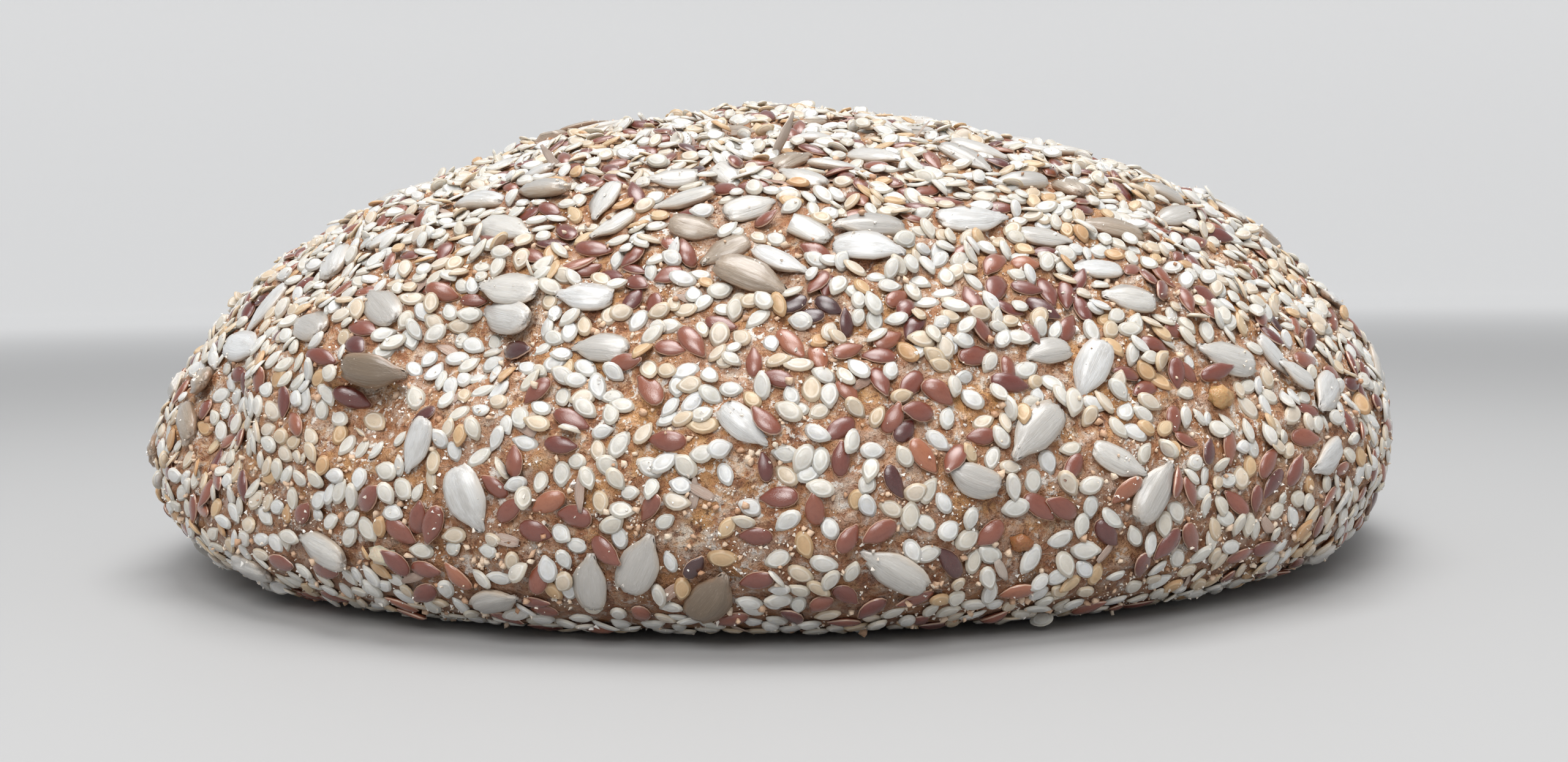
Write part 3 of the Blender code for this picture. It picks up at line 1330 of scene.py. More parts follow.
class Bed:
    """The crust with all that lies on it so far, on which the next seed is laid.

    CELL is the side of the cells that laid seeds are looked up by, and REACH is how far over the dough and
    under it the crust is looked for. No seed is aimed below LOWEST. PROUD is how far the sighted surface
    stands out, for the seeds on it. DAMP_SHADE_WIDTH is the width of the ring of painted contact shade, with
    the look of moist dough, round a seed. RING and FOLD give how strong that painted shade is at a seed's own
    middle and in the fold, and how fast it fades; FOLD_REACH is how far from the fold it is looked for. A LARGE
    seed may be hidden by no more than the share HIDES of what other seeds may be, and a seed on others sinks in
    less, by the share RISES. TOUCH is how far a seed has to stand out of the crust to count, CLEAR its least
    height over the floor, and NOTHING the height given where no crust is found. MOST is how many seeds can be
    noted, and SAMPLES are the places under a seed that are felt for.
    """

    CELL = 0.0066
    REACH = 0.008
    LOWEST = 0.0008
    PROUD = 0.0010
    DAMP_SHADE_WIDTH = 0.0004
    LARGE = 0.003
    HIDES = 0.45
    RISES = 0.75
    RING = (2.4, 1.4)
    FOLD = (1.9, 1.5)
    FOLD_REACH = 3.0
    TOUCH = 0.0002
    CLEAR = 0.0001
    NOTHING = -0.001
    MOST = 20000
    SAMPLES = np.array([(0, 0), (0.8, 0), (-0.8, 0), (0, 0.75), (0, -0.75),
                        (0.5, 0.5), (0.5, -0.5), (-0.5, 0.5), (-0.5, -0.5)])

    def __init__(self, crust: bpy.types.Object, dough: bpy.types.Object, camera: PhotoCamera) -> None:
        """Measure the crust, and note which part of it the picture shows.

        Args:
            crust: The crust that the seeds rest on.
            dough: Its smooth copy, on which they are aimed.
            camera: The camera that took the picture.
        """
        graph = bpy.context.evaluated_depsgraph_get()
        self.crust = BVHTree.FromObject(crust, graph)
        self.camera = camera
        points, self.faces = mesh_arrays(dough)
        normals = np.empty(len(points) * 3)
        dough.data.vertex_normals.foreach_get("vector", normals)
        self.points, self.normals = points, normals.reshape(-1, 3)
        proud = points + self.PROUD * self.normals
        self.sighted = BVHTree.FromPolygons(proud.tolist(), self.faces.tolist())
        self.dough = BVHTree.FromPolygons(points.tolist(), self.faces.tolist())
        corners = points[self.faces]
        cross = np.cross(corners[:, 1] - corners[:, 0], corners[:, 2] - corners[:, 0])
        area = np.linalg.norm(cross, axis=1) * (corners[:, :, 2].min(axis=1) > self.LOWEST)
        self.share_below = np.cumsum(area) / area.sum()
        self.area = area.sum() / 2
        self.cells: dict[tuple[int, int, int], list[int]] = defaultdict(list)
        self.count = 0
        self.middles = np.zeros((self.MOST, 3))
        self.axes = np.zeros((self.MOST, 3, 3))
        self.halves = np.ones((self.MOST, 3))
        self.offsets = np.column_stack([np.ones(len(self.SAMPLES)), self.SAMPLES])
        self.fit = np.linalg.pinv(self.offsets)
        self.bulge = np.sqrt(1 - (self.SAMPLES**2).sum(axis=1))

    def spots(self, count: int, draw: np.random.Generator) -> Iterator[tuple[np.ndarray, np.ndarray]]:
        """Yield places spread evenly by area over the seeded crust, each with the way up from it.

        Args:
            count: How many places are drawn.
            draw: The source of chance.

        Yields:
            A place, and the way up from it.
        """
        chosen = np.searchsorted(self.share_below, draw.random(count))
        first, second = draw.random(count), draw.random(count)
        flip = first + second > 1
        first[flip], second[flip] = 1 - first[flip], 1 - second[flip]
        weights = np.stack([1 - first - second, first, second], axis=1)[:, :, None]
        places = (self.points[self.faces[chosen]] * weights).sum(axis=1)
        ups = (self.normals[self.faces[chosen]] * weights).sum(axis=1)
        yield from zip(places, ups / np.linalg.norm(ups, axis=1, keepdims=True))

    def seen(self, spot: np.ndarray, up: np.ndarray) -> float:
        """Return how squarely the picture shows a spot, below 0 where it is turned away."""
        toward = np.array(self.camera.stand().translation) - spot
        return float(toward @ up / np.linalg.norm(toward))

    def sight(self, pixel: tuple[float, float]) -> tuple[np.ndarray, np.ndarray] | None:
        """Return the place on the dough that a pixel of the picture shows, and the way up from it.

        Args:
            pixel: The pixel's column and row.

        Returns:
            The place on the dough that it shows and the way up from it, or None where it misses the
            loaf.
        """
        start, direction = self.camera.sight(pixel)
        place, _, _, _ = self.sighted.ray_cast(start, direction)
        if place is None:
            return None
        place, up, _, _ = self.dough.find_nearest(place)
        return np.array(place), np.array(up)

    def beside(self, pixel: tuple[float, float], place: np.ndarray) -> np.ndarray:
        """Return the point on a pixel's sight line that is as far from the camera as a place."""
        start, direction = self.camera.sight(pixel)
        return np.array(start + direction * (Vector(place) - start).length)

    def add(self, seed: Seed) -> None:
        """Note a seed that was laid.

        Args:
            seed: The seed.
        """
        self.middles[self.count] = seed.middle
        self.axes[self.count] = seed.axes
        self.halves[self.count] = seed.half
        self.cells[tuple((seed.middle // self.CELL).astype(int))].append(self.count)
        self.count += 1

    def neighbours(self, spot: np.ndarray, cells: int) -> list[int]:
        """Return the seeds laid near a spot.

        Args:
            spot: The spot.
            cells: How many cells away to look.

        Returns:
            The seeds' numbers.
        """
        x, y, z = (spot // self.CELL).astype(int)
        span = range(-cells, cells + 1)
        return [seed for i in span for j in span for k in span for seed in self.cells.get((x + i, y + j, z + k), ())]

    def crust_height(self, start: np.ndarray, up: np.ndarray) -> float:
        """Return how high the crust stands over a place along a direction.

        Args:
            start: The place.
            up: The direction.

        Returns:
            The crust's height over it, below 0 where there is none.
        """
        high = Vector(start + up * self.REACH)
        place, _, _, distance = self.crust.ray_cast(high, Vector(-up), 2 * self.REACH)
        return self.NOTHING if place is None else self.REACH - distance

    def tops(self, starts: np.ndarray, up: np.ndarray, near: list[int]) -> np.ndarray:
        """Return how high the seeds near stand over each place along a direction.

        Args:
            starts: The places.
            up: The direction.
            near: The numbers of the seeds to measure.

        Returns:
            The height of the highest seed over each place, or -1 where there is none.
        """
        if not near:
            return np.full(len(starts), -1.0)
        axes, halves = self.axes[near], self.halves[near]
        away = np.einsum("ski,kij->skj", starts[:, None] - self.middles[near][None], axes) / halves
        step = np.einsum("i,kij->kj", up, axes) / halves
        a = (step**2).sum(axis=1)
        b = (away * step[None]).sum(axis=2)
        c = (away**2).sum(axis=2) - 1
        inside = b * b - a * c
        reach = np.where(inside > 0, (-b + np.sqrt(np.maximum(inside, 0))) / a, -1.0)
        return reach.max(axis=1)

    def paint_damp_shade(self, crust: bpy.types.Object, fold: Press) -> None:
        """Store on the crust how much painted contact shade, with the look of moist dough, each point gets: close to a
        seed, or deep in the fold.

        Args:
            crust: The crust, which gets the values as its attribute damp_shade.
            fold: The deep fold in the dough.
        """
        points, _ = mesh_arrays(crust)
        damp_shade = np.zeros(len(points))
        in_cell = defaultdict(list)
        for number, cell in enumerate((points // self.CELL).astype(int).tolist()):
            in_cell[tuple(cell)].append(number)
        for numbers in in_cell.values():
            near = self.neighbours(points[numbers[0]], 1)
            if near:
                away = points[numbers][:, None] - self.middles[near][None]
                away = np.einsum("ski,kij->skj", away, self.axes[near]) / (self.halves[near] + self.DAMP_SHADE_WIDTH)
                nearest = np.linalg.norm(away, axis=2).min(axis=1)
                damp_shade[numbers] = np.clip(self.RING[0] - self.RING[1] * nearest, 0, 1)
        away = np.linalg.norm(points - np.array(fold.start + fold.end) / 2, axis=1)
        for number in np.flatnonzero(away < self.FOLD_REACH * fold.reach):
            near = fold.distance(Vector(points[number])) / fold.reach
            damp_shade[number] = max(damp_shade[number], min(1.0, self.FOLD[0] - self.FOLD[1] * near))
        crust.data.attributes.new("damp_shade", "FLOAT", "POINT").data.foreach_set("value", damp_shade)

    def lie(self, kind: Kind, spot: np.ndarray, up: np.ndarray, heading: np.ndarray, half: np.ndarray,
            room: float, lean: np.ndarray, edge: float = 0.0) -> Seed | None:
        """Rest a seed on what lies under it.

        Args:
            kind: The seed's kind.
            spot: The place on the dough under the seed's middle.
            up: The way up from the dough there.
            heading: The way that its tip points.
            half: Its half length, width and thickness.
            room: The share of it that may lie over other seeds.
            lean: Its own slant, along and across, on top of that of what is under it.
            edge: How far it is turned up about its length, in radians.

        Returns:
            The seed, or None where there is no room.
        """
        along = heading - up * (heading @ up)
        along /= np.linalg.norm(along)
        across = np.cross(up, along)
        starts = spot + self.SAMPLES[:, :1] * along * half[0] + self.SAMPLES[:, 1:] * across * half[1]
        bare = np.array([self.crust_height(start, up) for start in starts])
        near = self.neighbours(spot, 2 if half[0] > self.LARGE else 1)
        tops = self.tops(starts, up, near)
        covered = float((tops > bare + self.TOUCH).mean())
        large = [seed for seed in near if self.halves[seed, 0] > self.LARGE]
        hiding = float((self.tops(starts, up, large) > bare + self.TOUCH).mean())
        if covered > room or hiding > self.HIDES * room:
            return None
        ground = np.maximum(bare, tops)
        _, slope_along, slope_across = self.fit @ ground
        steepest = math.tan(kind.steepest)
        slopes = np.array([slope_along / half[0], slope_across / half[1]]) + lean
        steep = np.linalg.norm(slopes)
        if steep > steepest:
            slopes *= steepest / steep
        level = ground - self.SAMPLES[:, 0] * half[0] * slopes[0] - self.SAMPLES[:, 1] * half[1] * slopes[1]
        sink = kind.sink * (1 - self.RISES * covered)
        if edge:
            high = float(level.mean()) + half[1] * (1 - 1.2 * kind.sink)
        else:
            high = float((level + half[2] * self.bulge).max()) - 2 * half[2] * sink
        along = along + up * slopes[0]
        along /= np.linalg.norm(along)
        over = up - along * (up @ along) - across * slopes[1]
        over /= np.linalg.norm(over)
        across = np.cross(over, along)
        if edge:
            over, across = (over * math.cos(edge) + across * math.sin(edge),
                            across * math.cos(edge) - over * math.sin(edge))
        axes = np.column_stack([along, across, over])
        middle = spot + up * high
        drop = math.sqrt(float(((axes[2] * half) ** 2).sum()))
        if middle[2] - drop < self.CLEAR:
            return None
        return Seed(middle, axes, half)


@dataclass
class Batch:
    """All the seeds of one finish, laid one by one and then poured into one mesh."""

    name: str
    finish: Finish
    slot: str
    casts: list[Cast]
    smooth: bool = True
    straight: float = 0.3
    seeds: list[Seed] = field(default_factory=list)

    def shaped(self, number: int) -> tuple[np.ndarray, list[Seed]]:
        """Return the points of every seed that has one cast, bent and set in its place.

        Args:
            number: The cast's number.

        Returns:
            The points, one block for each seed, and those seeds.
        """
        members = [seed for seed in self.seeds if seed.mould == number]
        cast = self.casts[number]
        points = np.repeat(cast.points[None], len(members), axis=0)
        bends = np.array([(seed.bend, seed.curve) for seed in members]).reshape(-1, 2)
        bow = points[:, :, 0] ** 2 - self.straight
        points[:, :, 2] += bends[:, :1] * bow
        points[:, :, 1] += bends[:, 1:] * bow
        span = np.abs(cast.points).max(axis=0)
        halves = np.array([seed.half for seed in members]).reshape(-1, 3)
        axes = np.array([seed.axes for seed in members]).reshape(-1, 3, 3)
        middles = np.array([seed.middle for seed in members]).reshape(-1, 3)
        points *= (halves / span)[:, None]
        return np.einsum("nij,npj->npi", axes, points) + middles[:, None], members

    def pour(self) -> bpy.types.Object:
        """Join the seeds into one mesh that carries their grain and tints.

        Returns:
            The mesh, dressed and riding on the loaf's body.
        """
        points, grain, tints, corners, sides = [], [], [], [], []
        start = 0
        for number, cast in enumerate(self.casts):
            placed, members = self.shaped(number)
            if not members:
                continue
            shifts = start + np.arange(len(members))[:, None] * len(cast.points)
            points.append(placed.reshape(-1, 3))
            grain.append(np.tile(cast.grain, (len(members), 1)))
            tints.append(np.repeat([seed.tint for seed in members], len(cast.points)))
            corners.append((cast.corners[None] + shifts).reshape(-1))
            sides.append(np.tile(cast.sides, len(members)))
            start += len(members) * len(cast.points)
        corners, sides = np.concatenate(corners), np.concatenate(sides)
        mesh = bpy.data.meshes.new(self.name)
        mesh.vertices.add(start)
        mesh.loops.add(len(corners))
        mesh.polygons.add(len(sides))
        mesh.vertices.foreach_set("co", np.concatenate(points).reshape(-1))
        mesh.loops.foreach_set("vertex_index", corners)
        mesh.polygons.foreach_set("loop_start", np.concatenate([[0], np.cumsum(sides)[:-1]]))
        mesh.update(calc_edges=True)
        mesh.attributes.new("grain", "FLOAT_VECTOR", "POINT").data.foreach_set(
            "vector", np.concatenate(grain).reshape(-1))
        mesh.attributes.new("tint", "FLOAT", "POINT").data.foreach_set("value", np.concatenate(tints))
        if self.smooth:
            mesh.shade_smooth()
        else:
            mesh.shade_flat()
        mesh.materials.append(self.finish.make())
        piece = bpy.data.objects.new(self.name, mesh)
        bpy.context.collection.objects.link(piece)
        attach(piece, BODY)
        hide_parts("loaf")
        triangles = int((sides - 2).sum())
        log.info("%s: %d pieces, %d triangles", self.name, len(self.seeds), triangles)
        return piece


# ---------------------------------------------------------------- what lies on the crust

# Seeds read off the picture: the pixels of the tip and of the heel, as (column, row, column, row).
WHITE_KERNELS = (
    (553, 392, 535, 450), (650, 365, 605, 400), (728, 325, 832, 322), (565, 335, 620, 312),
    (1315, 437, 1225, 395), (1475, 414, 1352, 390), (1645, 355, 1528, 350), (1752, 430, 1838, 430),
    (420, 568, 365, 560), (395, 535, 468, 455), (652, 770, 700, 675), (778, 868, 738, 755),
    (778, 505, 880, 530), (908, 480, 1005, 485), (1250, 722, 1172, 655), (1770, 638, 1800, 555),
    (2155, 665, 2185, 612), (2150, 768, 2200, 722), (850, 282, 898, 275), (2105, 600, 2060, 550),
)
CREAM_KERNELS = (
    (865, 380, 775, 355), (968, 380, 1035, 342), (965, 345, 1008, 302), (1065, 325, 1175, 312),
    (1265, 318, 1178, 350), (1472, 262, 1382, 235), (1420, 272, 1312, 262), (1275, 275, 1350, 298),
    (1750, 390, 1660, 375), (1300, 222, 1360, 215), (1460, 200, 1540, 225), (1650, 250, 1545, 230),
    (785, 468, 880, 475), (1960, 568, 2068, 595), (2098, 600, 2140, 625), (1805, 475, 1895, 490),
    (1872, 775, 1785, 725), (472, 880, 575, 920), (1413, 912, 1518, 965), (380, 925, 430, 940),
)
GREY_KERNELS = (
    (832, 305, 940, 315), (1065, 295, 1140, 283), (1362, 368, 1485, 365), (1620, 270, 1530, 240),
    (1620, 285, 1715, 295), (1895, 345, 1950, 350), (1862, 300, 1940, 330), (595, 468, 638, 515),
    (475, 515, 525, 540), (935, 560, 1030, 570), (1655, 745, 1735, 655), (1690, 575, 1740, 565),
    (1915, 752, 1858, 858), (838, 975, 770, 1000), (1062, 877, 1020, 978), (1065, 1010, 955, 1035),
    (1565, 770, 1620, 795), (957, 912, 965, 1005),
)
BROWN_KERNELS = (
    (1170, 375, 1090, 365), (1155, 415, 1215, 390), (1285, 468, 1160, 425), (1320, 245, 1262, 265),
    (1155, 190, 1245, 215), (1725, 280, 1770, 320), (1355, 190, 1290, 200), (1770, 352, 1875, 383),
    (300, 612, 348, 628), (285, 640, 305, 730),
)
DARK_KERNELS = ((660, 610, 548, 597), (1185, 950, 1130, 1020))
BROKEN_KERNELS = ((1160, 262, 1200, 285), (1265, 347, 1352, 385))
DARK_FLAX = (
    (1262, 500, 1320, 488), (1290, 515, 1348, 512), (1375, 508, 1330, 485), (1380, 500, 1385, 542),
    (1150, 275, 1122, 265), (1730, 520, 1678, 480), (1145, 912, 1120, 945), (1540, 900, 1570, 948),
    (1475, 812, 1450, 755), (1480, 545, 1508, 512), (1245, 738, 1252, 785), (868, 572, 815, 568),
    (2080, 505, 2100, 535), (1488, 690, 1470, 712), (1978, 722, 1976, 752), (668, 674, 705, 661),
)
RED_FLAX = (
    (1105, 340, 1160, 340), (1205, 303, 1258, 302), (1205, 308, 1160, 295), (1208, 250, 1195, 280),
    (1375, 718, 1372, 778), (1868, 950, 1868, 900), (2130, 742, 2112, 795), (848, 400, 800, 412),
    (1758, 475, 1780, 522), (1722, 498, 1702, 445), (1745, 500, 1738, 455), (1675, 508, 1630, 488),
    (603, 657, 545, 643), (545, 588, 498, 575), (1618, 485, 1640, 445), (1702, 475, 1652, 458),
    (2012, 600, 1965, 612), (1345, 480, 1360, 442), (902, 350, 940, 385), (2060, 840, 2060, 790),
    (1605, 330, 1655, 338), (1345, 715, 1398, 678),
)
BROWN_FLAX = (
    (850, 650, 898, 615), (958, 695, 902, 668), (940, 728, 884, 720), (1147, 577, 1110, 532),
    (1200, 525, 1148, 515), (1230, 560, 1230, 608), (1228, 663, 1272, 710), (1055, 714, 1120, 720),
    (1068, 510, 1065, 472), (790, 490, 750, 488), (1068, 455, 1115, 437), (995, 398, 935, 395),
    (1032, 300, 1045, 332), (1270, 352, 1230, 360), (915, 243, 925, 265), (985, 262, 1025, 250),
    (1065, 208, 1100, 222), (1125, 228, 1158, 238), (975, 425, 940, 438), (1052, 438, 1015, 425),
    (770, 272, 800, 255), (1243, 607, 1298, 625), (1447, 645, 1430, 590), (1472, 640, 1510, 602),
    (1558, 655, 1508, 620), (1622, 568, 1567, 583), (1655, 622, 1645, 575), (1695, 560, 1675, 525),
    (1610, 440, 1640, 410), (1535, 270, 1510, 245), (1515, 310, 1465, 300), (1575, 325, 1520, 315),
    (1950, 505, 1935, 460), (1945, 535, 1905, 530), (1960, 615, 1935, 590), (1925, 698, 1920, 662),
    (1960, 725, 1925, 705), (618, 795, 572, 832), (682, 820, 668, 878), (690, 890, 712, 825),
    (495, 825, 475, 855), (545, 942, 505, 932), (850, 815, 805, 852), (905, 838, 965, 850),
    (1010, 925, 962, 878), (1042, 850, 1080, 805), (835, 725, 835, 780), (1205, 875, 1262, 880),
    (1240, 812, 1305, 810), (1410, 885, 1468, 855), (1402, 860, 1368, 905), (1602, 893, 1643, 852),
    (1725, 848, 1678, 808), (1712, 815, 1765, 845), (1740, 785, 1770, 738), (1465, 992, 1530, 978),
    (1325, 1003, 1355, 985), (1925, 762, 1915, 815), (2085, 730, 2065, 780), (1965, 910, 1940, 850),
    (2055, 905, 2010, 920), (868, 1003, 905, 1010), (1545, 772, 1575, 722),
)
ORANGE_FLAX = (
    (1312, 578, 1270, 532), (1345, 600, 1328, 555), (1530, 770, 1488, 715), (722, 923, 765, 970),
    (1635, 980, 1693, 962), (1822, 822, 1862, 778),
)
HUSKS = (
    (1095, 475, 1155, 490), (775, 870, 868, 895), (1845, 875, 1780, 935), (690, 545, 768, 590),
    (645, 955, 690, 943), (1135, 760, 1128, 850), (1120, 790, 1165, 815),
)
GOLDEN_GRITS = ((1970, 645, 2024, 645),)
PALE_GRITS = ((583, 905, 655, 912),)
AMBER_GRITS = ((1655, 888, 1690, 888),)
AMBER_SESAME = ((1670, 695, 1670, 655), (1395, 833, 1405, 797), (1205, 918, 1150, 915), (580, 900, 605, 910))

# The foot and the top of each scrap that stands up, in the same way.
STANDING_HUSKS = ((1265, 243, 1303, 172), (1118, 232, 1096, 196), (1490, 222, 1520, 190), (905, 262, 880, 230))

PATCHES = (
    Patch((640, 655), 0.0066, 0.12), Patch((560, 705), 0.0045, 0.30), Patch((1195, 790), 0.0042, 0.10),
    Patch((1160, 850), 0.0036, 0.20), Patch((835, 920), 0.0035, 0.15), Patch((1540, 450), 0.0040, 0.15),
    Patch((700, 555), 0.0045, 0.25), Patch((1330, 740), 0.0035, 0.35), Patch((1700, 900), 0.0040, 0.35),
)

# Each sort of sesame: its name, its shades, its rim, and the line around its face where that is its own.
SESAME_SORTS = (
    ("sesame_white", ((0.615, 0.61, 0.60), (0.60, 0.59, 0.565), (0.575, 0.56, 0.515)), (0.53, 0.475, 0.385)),
    ("sesame_ivory", ((0.60, 0.58, 0.545), (0.58, 0.55, 0.495), (0.56, 0.515, 0.44)), (0.51, 0.43, 0.32)),
    ("sesame_cream", ((0.595, 0.53, 0.45), (0.575, 0.485, 0.38), (0.545, 0.43, 0.30)), (0.50, 0.36, 0.22)),
    ("sesame_toasted", ((0.58, 0.45, 0.30), (0.54, 0.37, 0.21), (0.49, 0.29, 0.145)), (0.43, 0.235, 0.11),
     (0.64, 0.54, 0.40)),
)


@dataclass
class Toppings:
    """Everything the loaf was rolled in: kernels, flax and sesame, with their husks, grits and crumbs."""

    kernel: Kind = Kind(0.0100, 0.48, 0.22, spread=0.11, sink=0.32, room=0.36)
    flax: Kind = Kind(0.0050, 0.53, 0.24, spread=0.08, sink=0.30, room=0.40)
    sesame: Kind = Kind(0.0035, 0.65, 0.24, spread=0.10, sink=0.42, room=0.60)
    sesame_on_edge: Kind = Kind(0.0034, 0.66, 0.24, spread=0.10, sink=0.30, room=0.80, on_edge=1.0)
    husk: Kind = Kind(0.0033, 0.40, 0.06, spread=0.40, sink=0.10, room=0.5)
    grit: Kind = Kind(0.0040, 0.80, 0.60, spread=0.10, sink=0.40, room=0.9)
    kernels_hidden: int = 215
    flax_in_all: int = 1000
    sesame_flat: int = 6250
    sesame_upturned: int = 130
    husks_in_all: int = 150
    flour_heaps: Heaps = Heaps(5000, 22, 0.00022, 0.00075, 0.15)
    crust_heaps: Heaps = Heaps(4800, 7, 0.00040, 0.0014, 0.04)
    swell_seen: float = 1.08
    shortest_seen: float = 0.82
    longest_seen: float = 1.22
    room_seen: float = 0.9
    own_tint: float = 0.08
    own_bend: float = 0.05
    thin_below: float = 0.020
    full_above: float = 0.052
    thin_share: float = 0.70
    clump_scale: float = 110
    rises: float = 0.035
    tries: int = 14
    turned_away: float = 0.10
    soaked_share: float = 0.12
    cut_shares: tuple[float, ...] = (0.58, 0.22, 0.10, 0.10)
    seen_cut_shares: tuple[float, ...] = (0.64, 0.26, 0.10)
    sesame_shares: tuple[float, ...] = (0.36, 0.35, 0.21, 0.08)
    kernel_tints: tuple[float, float] = (1.6, 1.8)
    flax_tints: tuple[float, float] = (3.0, 3.8)
    stoutest: float = 1.08
    wide_spread: float = 0.07
    thick_spread: float = 0.10
    upturned: tuple[float, float] = (0.8, 1.4)
    standing_out: float = 0.36
    standing_bend: float = 0.25
    crumb_rise: float = 0.35
    seed: int = 20

    def __post_init__(self) -> None:
        """Model each seed once, and set out the batches."""
        self.draw = np.random.default_rng(self.seed)
        sesame = [SesameMould().model(), SesameMould(dish=0.22, point=0.74).model(),
                  SesameMould(wide=0.60, point=0.60).model(), SesameMould(wide=0.72, point=0.82).model()]
        flax = [FlaxMould().model()]
        kernels = [KernelMould(cut=cut).model() for cut in KernelCut]
        flake = [FlakeMould(batch=batch).model() for batch in range(4)]
        crumb = [CrumbMould(batch=batch).model() for batch in range(3)]
        self.sesames = [Batch(name, SesameFinish(name, *looks), "pale_seed", sesame) for name, *looks in SESAME_SORTS]
        self.flaxes = Batch("flax", FlaxFinish(), "brown_seed", flax)
        self.pale = Batch("kernels", KernelFinish(
            "kernel", ((0.565, 0.57, 0.57), (0.52, 0.50, 0.465), (0.36, 0.34, 0.315))), "pale_seed", kernels)
        self.soaked = Batch("soaked_kernels", KernelFinish(
            "soaked_kernel", ((0.42, 0.36, 0.295), (0.325, 0.258, 0.195), (0.175, 0.127, 0.084)),
            under=(0.30, 0.175, 0.10), line=(0.17, 0.11, 0.075), silver_and_highlight=(0.54, 0.49, 0.43), soaked=0.75,
            roughness=0.32), "pale_seed", kernels)
        self.husks = Batch("husks", HuskFinish(), "brown_seed", [HuskMould().model(), HuskMould(wide=0.16).model()])
        self.grits = Batch("grits", CrumbFinish(
            "grit", ((0.57, 0.505, 0.38), (0.45, 0.250, 0.085), (0.24, 0.090, 0.035)), 0.35, 0.3), "pale_seed",
            [CrumbMould(segments=10, rings=6, dent=0.20).model()])
        self.flour = Batch("flour_flakes", CrumbFinish(
            "flour_flake", ((0.86, 0.84, 0.80), (0.82, 0.77, 0.70), (0.76, 0.66, 0.55))), "crust", flake, smooth=False)
        self.crusty = Batch("crust_crumbs", CrumbFinish(
            "crust_crumb", ((0.80, 0.68, 0.54), (0.68, 0.48, 0.33), (0.46, 0.25, 0.14)), 0.55), "crust", crumb)

    def size(self, kind: Kind, length: float | None = None) -> np.ndarray:
        """Draw a seed's half sizes, about its own length where the picture gives one.

        Args:
            kind: The seed's kind.
            length: Its length, or None to draw one.

        Returns:
            Half its length, width and thickness.
        """
        length = length or kind.length * float(np.clip(1 + self.draw.normal(0, kind.spread), 0.4, 1.8))
        stout = min(self.stoutest, math.sqrt(kind.length / length))
        wide = kind.wide * (1 + self.draw.normal(0, self.wide_spread)) * stout
        thick = kind.thick * (1 + self.draw.normal(0, self.thick_spread)) * stout
        return np.array((0.5 * length, 0.5 * length * wide, 0.5 * length * thick))

    def heading(self) -> np.ndarray:
        """Draw a direction."""
        return self.draw.normal(0, 1, 3)

    def lay(self, bed: Bed, batch: Batch, kind: Kind, tint: float, spot: np.ndarray, up: np.ndarray,
            room: float, mould: int = 0, heading: np.ndarray | None = None, length: float | None = None) -> bool:
        """Lay one seed, if there is room.

        Args:
            bed: What it is laid on.
            batch: The batch that it belongs to.
            kind: Its kind.
            tint: Its shade, from 0 to 1.
            spot: The place on the dough under its middle.
            up: The way up from there.
            room: The share of it that may lie over other seeds.
            mould: Which of the batch's models it is.
            heading: The way its tip points, or any way.
            length: Its length, or one drawn for its kind.

        Returns:
            Whether it was laid.
        """
        heading = self.heading() if heading is None else heading
        half = self.size(kind, length)
        edge = self.draw.uniform(*self.upturned) if self.draw.random() < kind.on_edge else 0.0
        seed = bed.lie(kind, spot, up, heading, half, room, self.draw.normal(0, kind.restless, 2), edge)
        if seed is None:
            return False
        seed.tint = float(np.clip(tint, 0, 1))
        seed.bend = self.draw.normal(0, self.own_bend)
        seed.curve = self.draw.normal(0, self.own_bend)
        seed.mould = mould
        bed.add(seed)
        batch.seeds.append(seed)
        return True

    def lay_seen(self, bed: Bed, batch: Batch, kind: Kind, rows: Pixels, tint: float,
                 mould: int | None = 0) -> None:
        """Lay the seeds that were read from the picture, each between the pixels of its tip and its heel.

        Args:
            bed: What they are laid on.
            batch: The batch that they belong to.
            kind: Their kind.
            rows: The pixels of each one's tip and heel.
            tint: Their usual shade.
            mould: Which of the batch's models they are, or None to draw one of the unbroken ones.
        """
        for row in rows:
            tip, heel = bed.sight(row[:2]), bed.sight(row[2:])
            middle = bed.sight(((row[0] + row[2]) / 2, (row[1] + row[3]) / 2))
            if tip is None or heel is None or middle is None:
                continue
            reach = tip[0] - heel[0]
            length = self.swell_seen * np.linalg.norm(reach)
            length = float(np.clip(length, self.shortest_seen * kind.length, self.longest_seen * kind.length))
            shape = mould
            if mould is None:
                shape = int(self.draw.choice(len(self.seen_cut_shares), p=self.seen_cut_shares))
            own = self.draw.normal(tint, self.own_tint)
            self.lay(bed, batch, kind, own, *middle, self.room_seen, shape, reach, length)

    def stand_up(self, bed: Bed, rows: Pixels) -> None:
        """Plant scraps of husk on end, each from the pixel of its foot to that of its top.

        Args:
            bed: What they are planted on.
            rows: The pixels of each one's foot and top.
        """
        for row in rows:
            found = bed.sight(row[:2])
            if found is None:
                continue
            foot, up = found
            along = bed.beside(row[2:], foot) - foot
            length = float(np.linalg.norm(along))
            along /= length
            over = np.cross(along, self.heading())
            over /= np.linalg.norm(over)
            axes = np.column_stack([along, np.cross(over, along), over])
            half = 0.5 * length * np.array((1.0, 0.7 * self.husk.wide, self.husk.thick))
            middle = foot + along * self.standing_out * length
            tint = self.draw.uniform(0.6, 1.0)
            self.husks.seeds.append(Seed(middle, axes, half, tint, bend=self.standing_bend))

    def wanted(self, spot: np.ndarray, patches: list[tuple[np.ndarray, Patch]]) -> float:
        """Return the share of the seeds wanted at a spot: fewer low down and in bare patches, in clumps.

        Args:
            spot: The spot.
            patches: The bare patches, each with its place on the dough.

        Returns:
            The share, about 0 to 1.
        """
        high = smooth_step((spot[2] - self.thin_below) / (self.full_above - self.thin_below))
        share = self.thin_share + (1 - self.thin_share) * high
        share *= 0.84 + 0.75 * noise.noise(Vector(spot) * self.clump_scale)
        for place, patch in patches:
            if np.linalg.norm(spot - place) < patch.radius:
                share *= patch.share
        return share

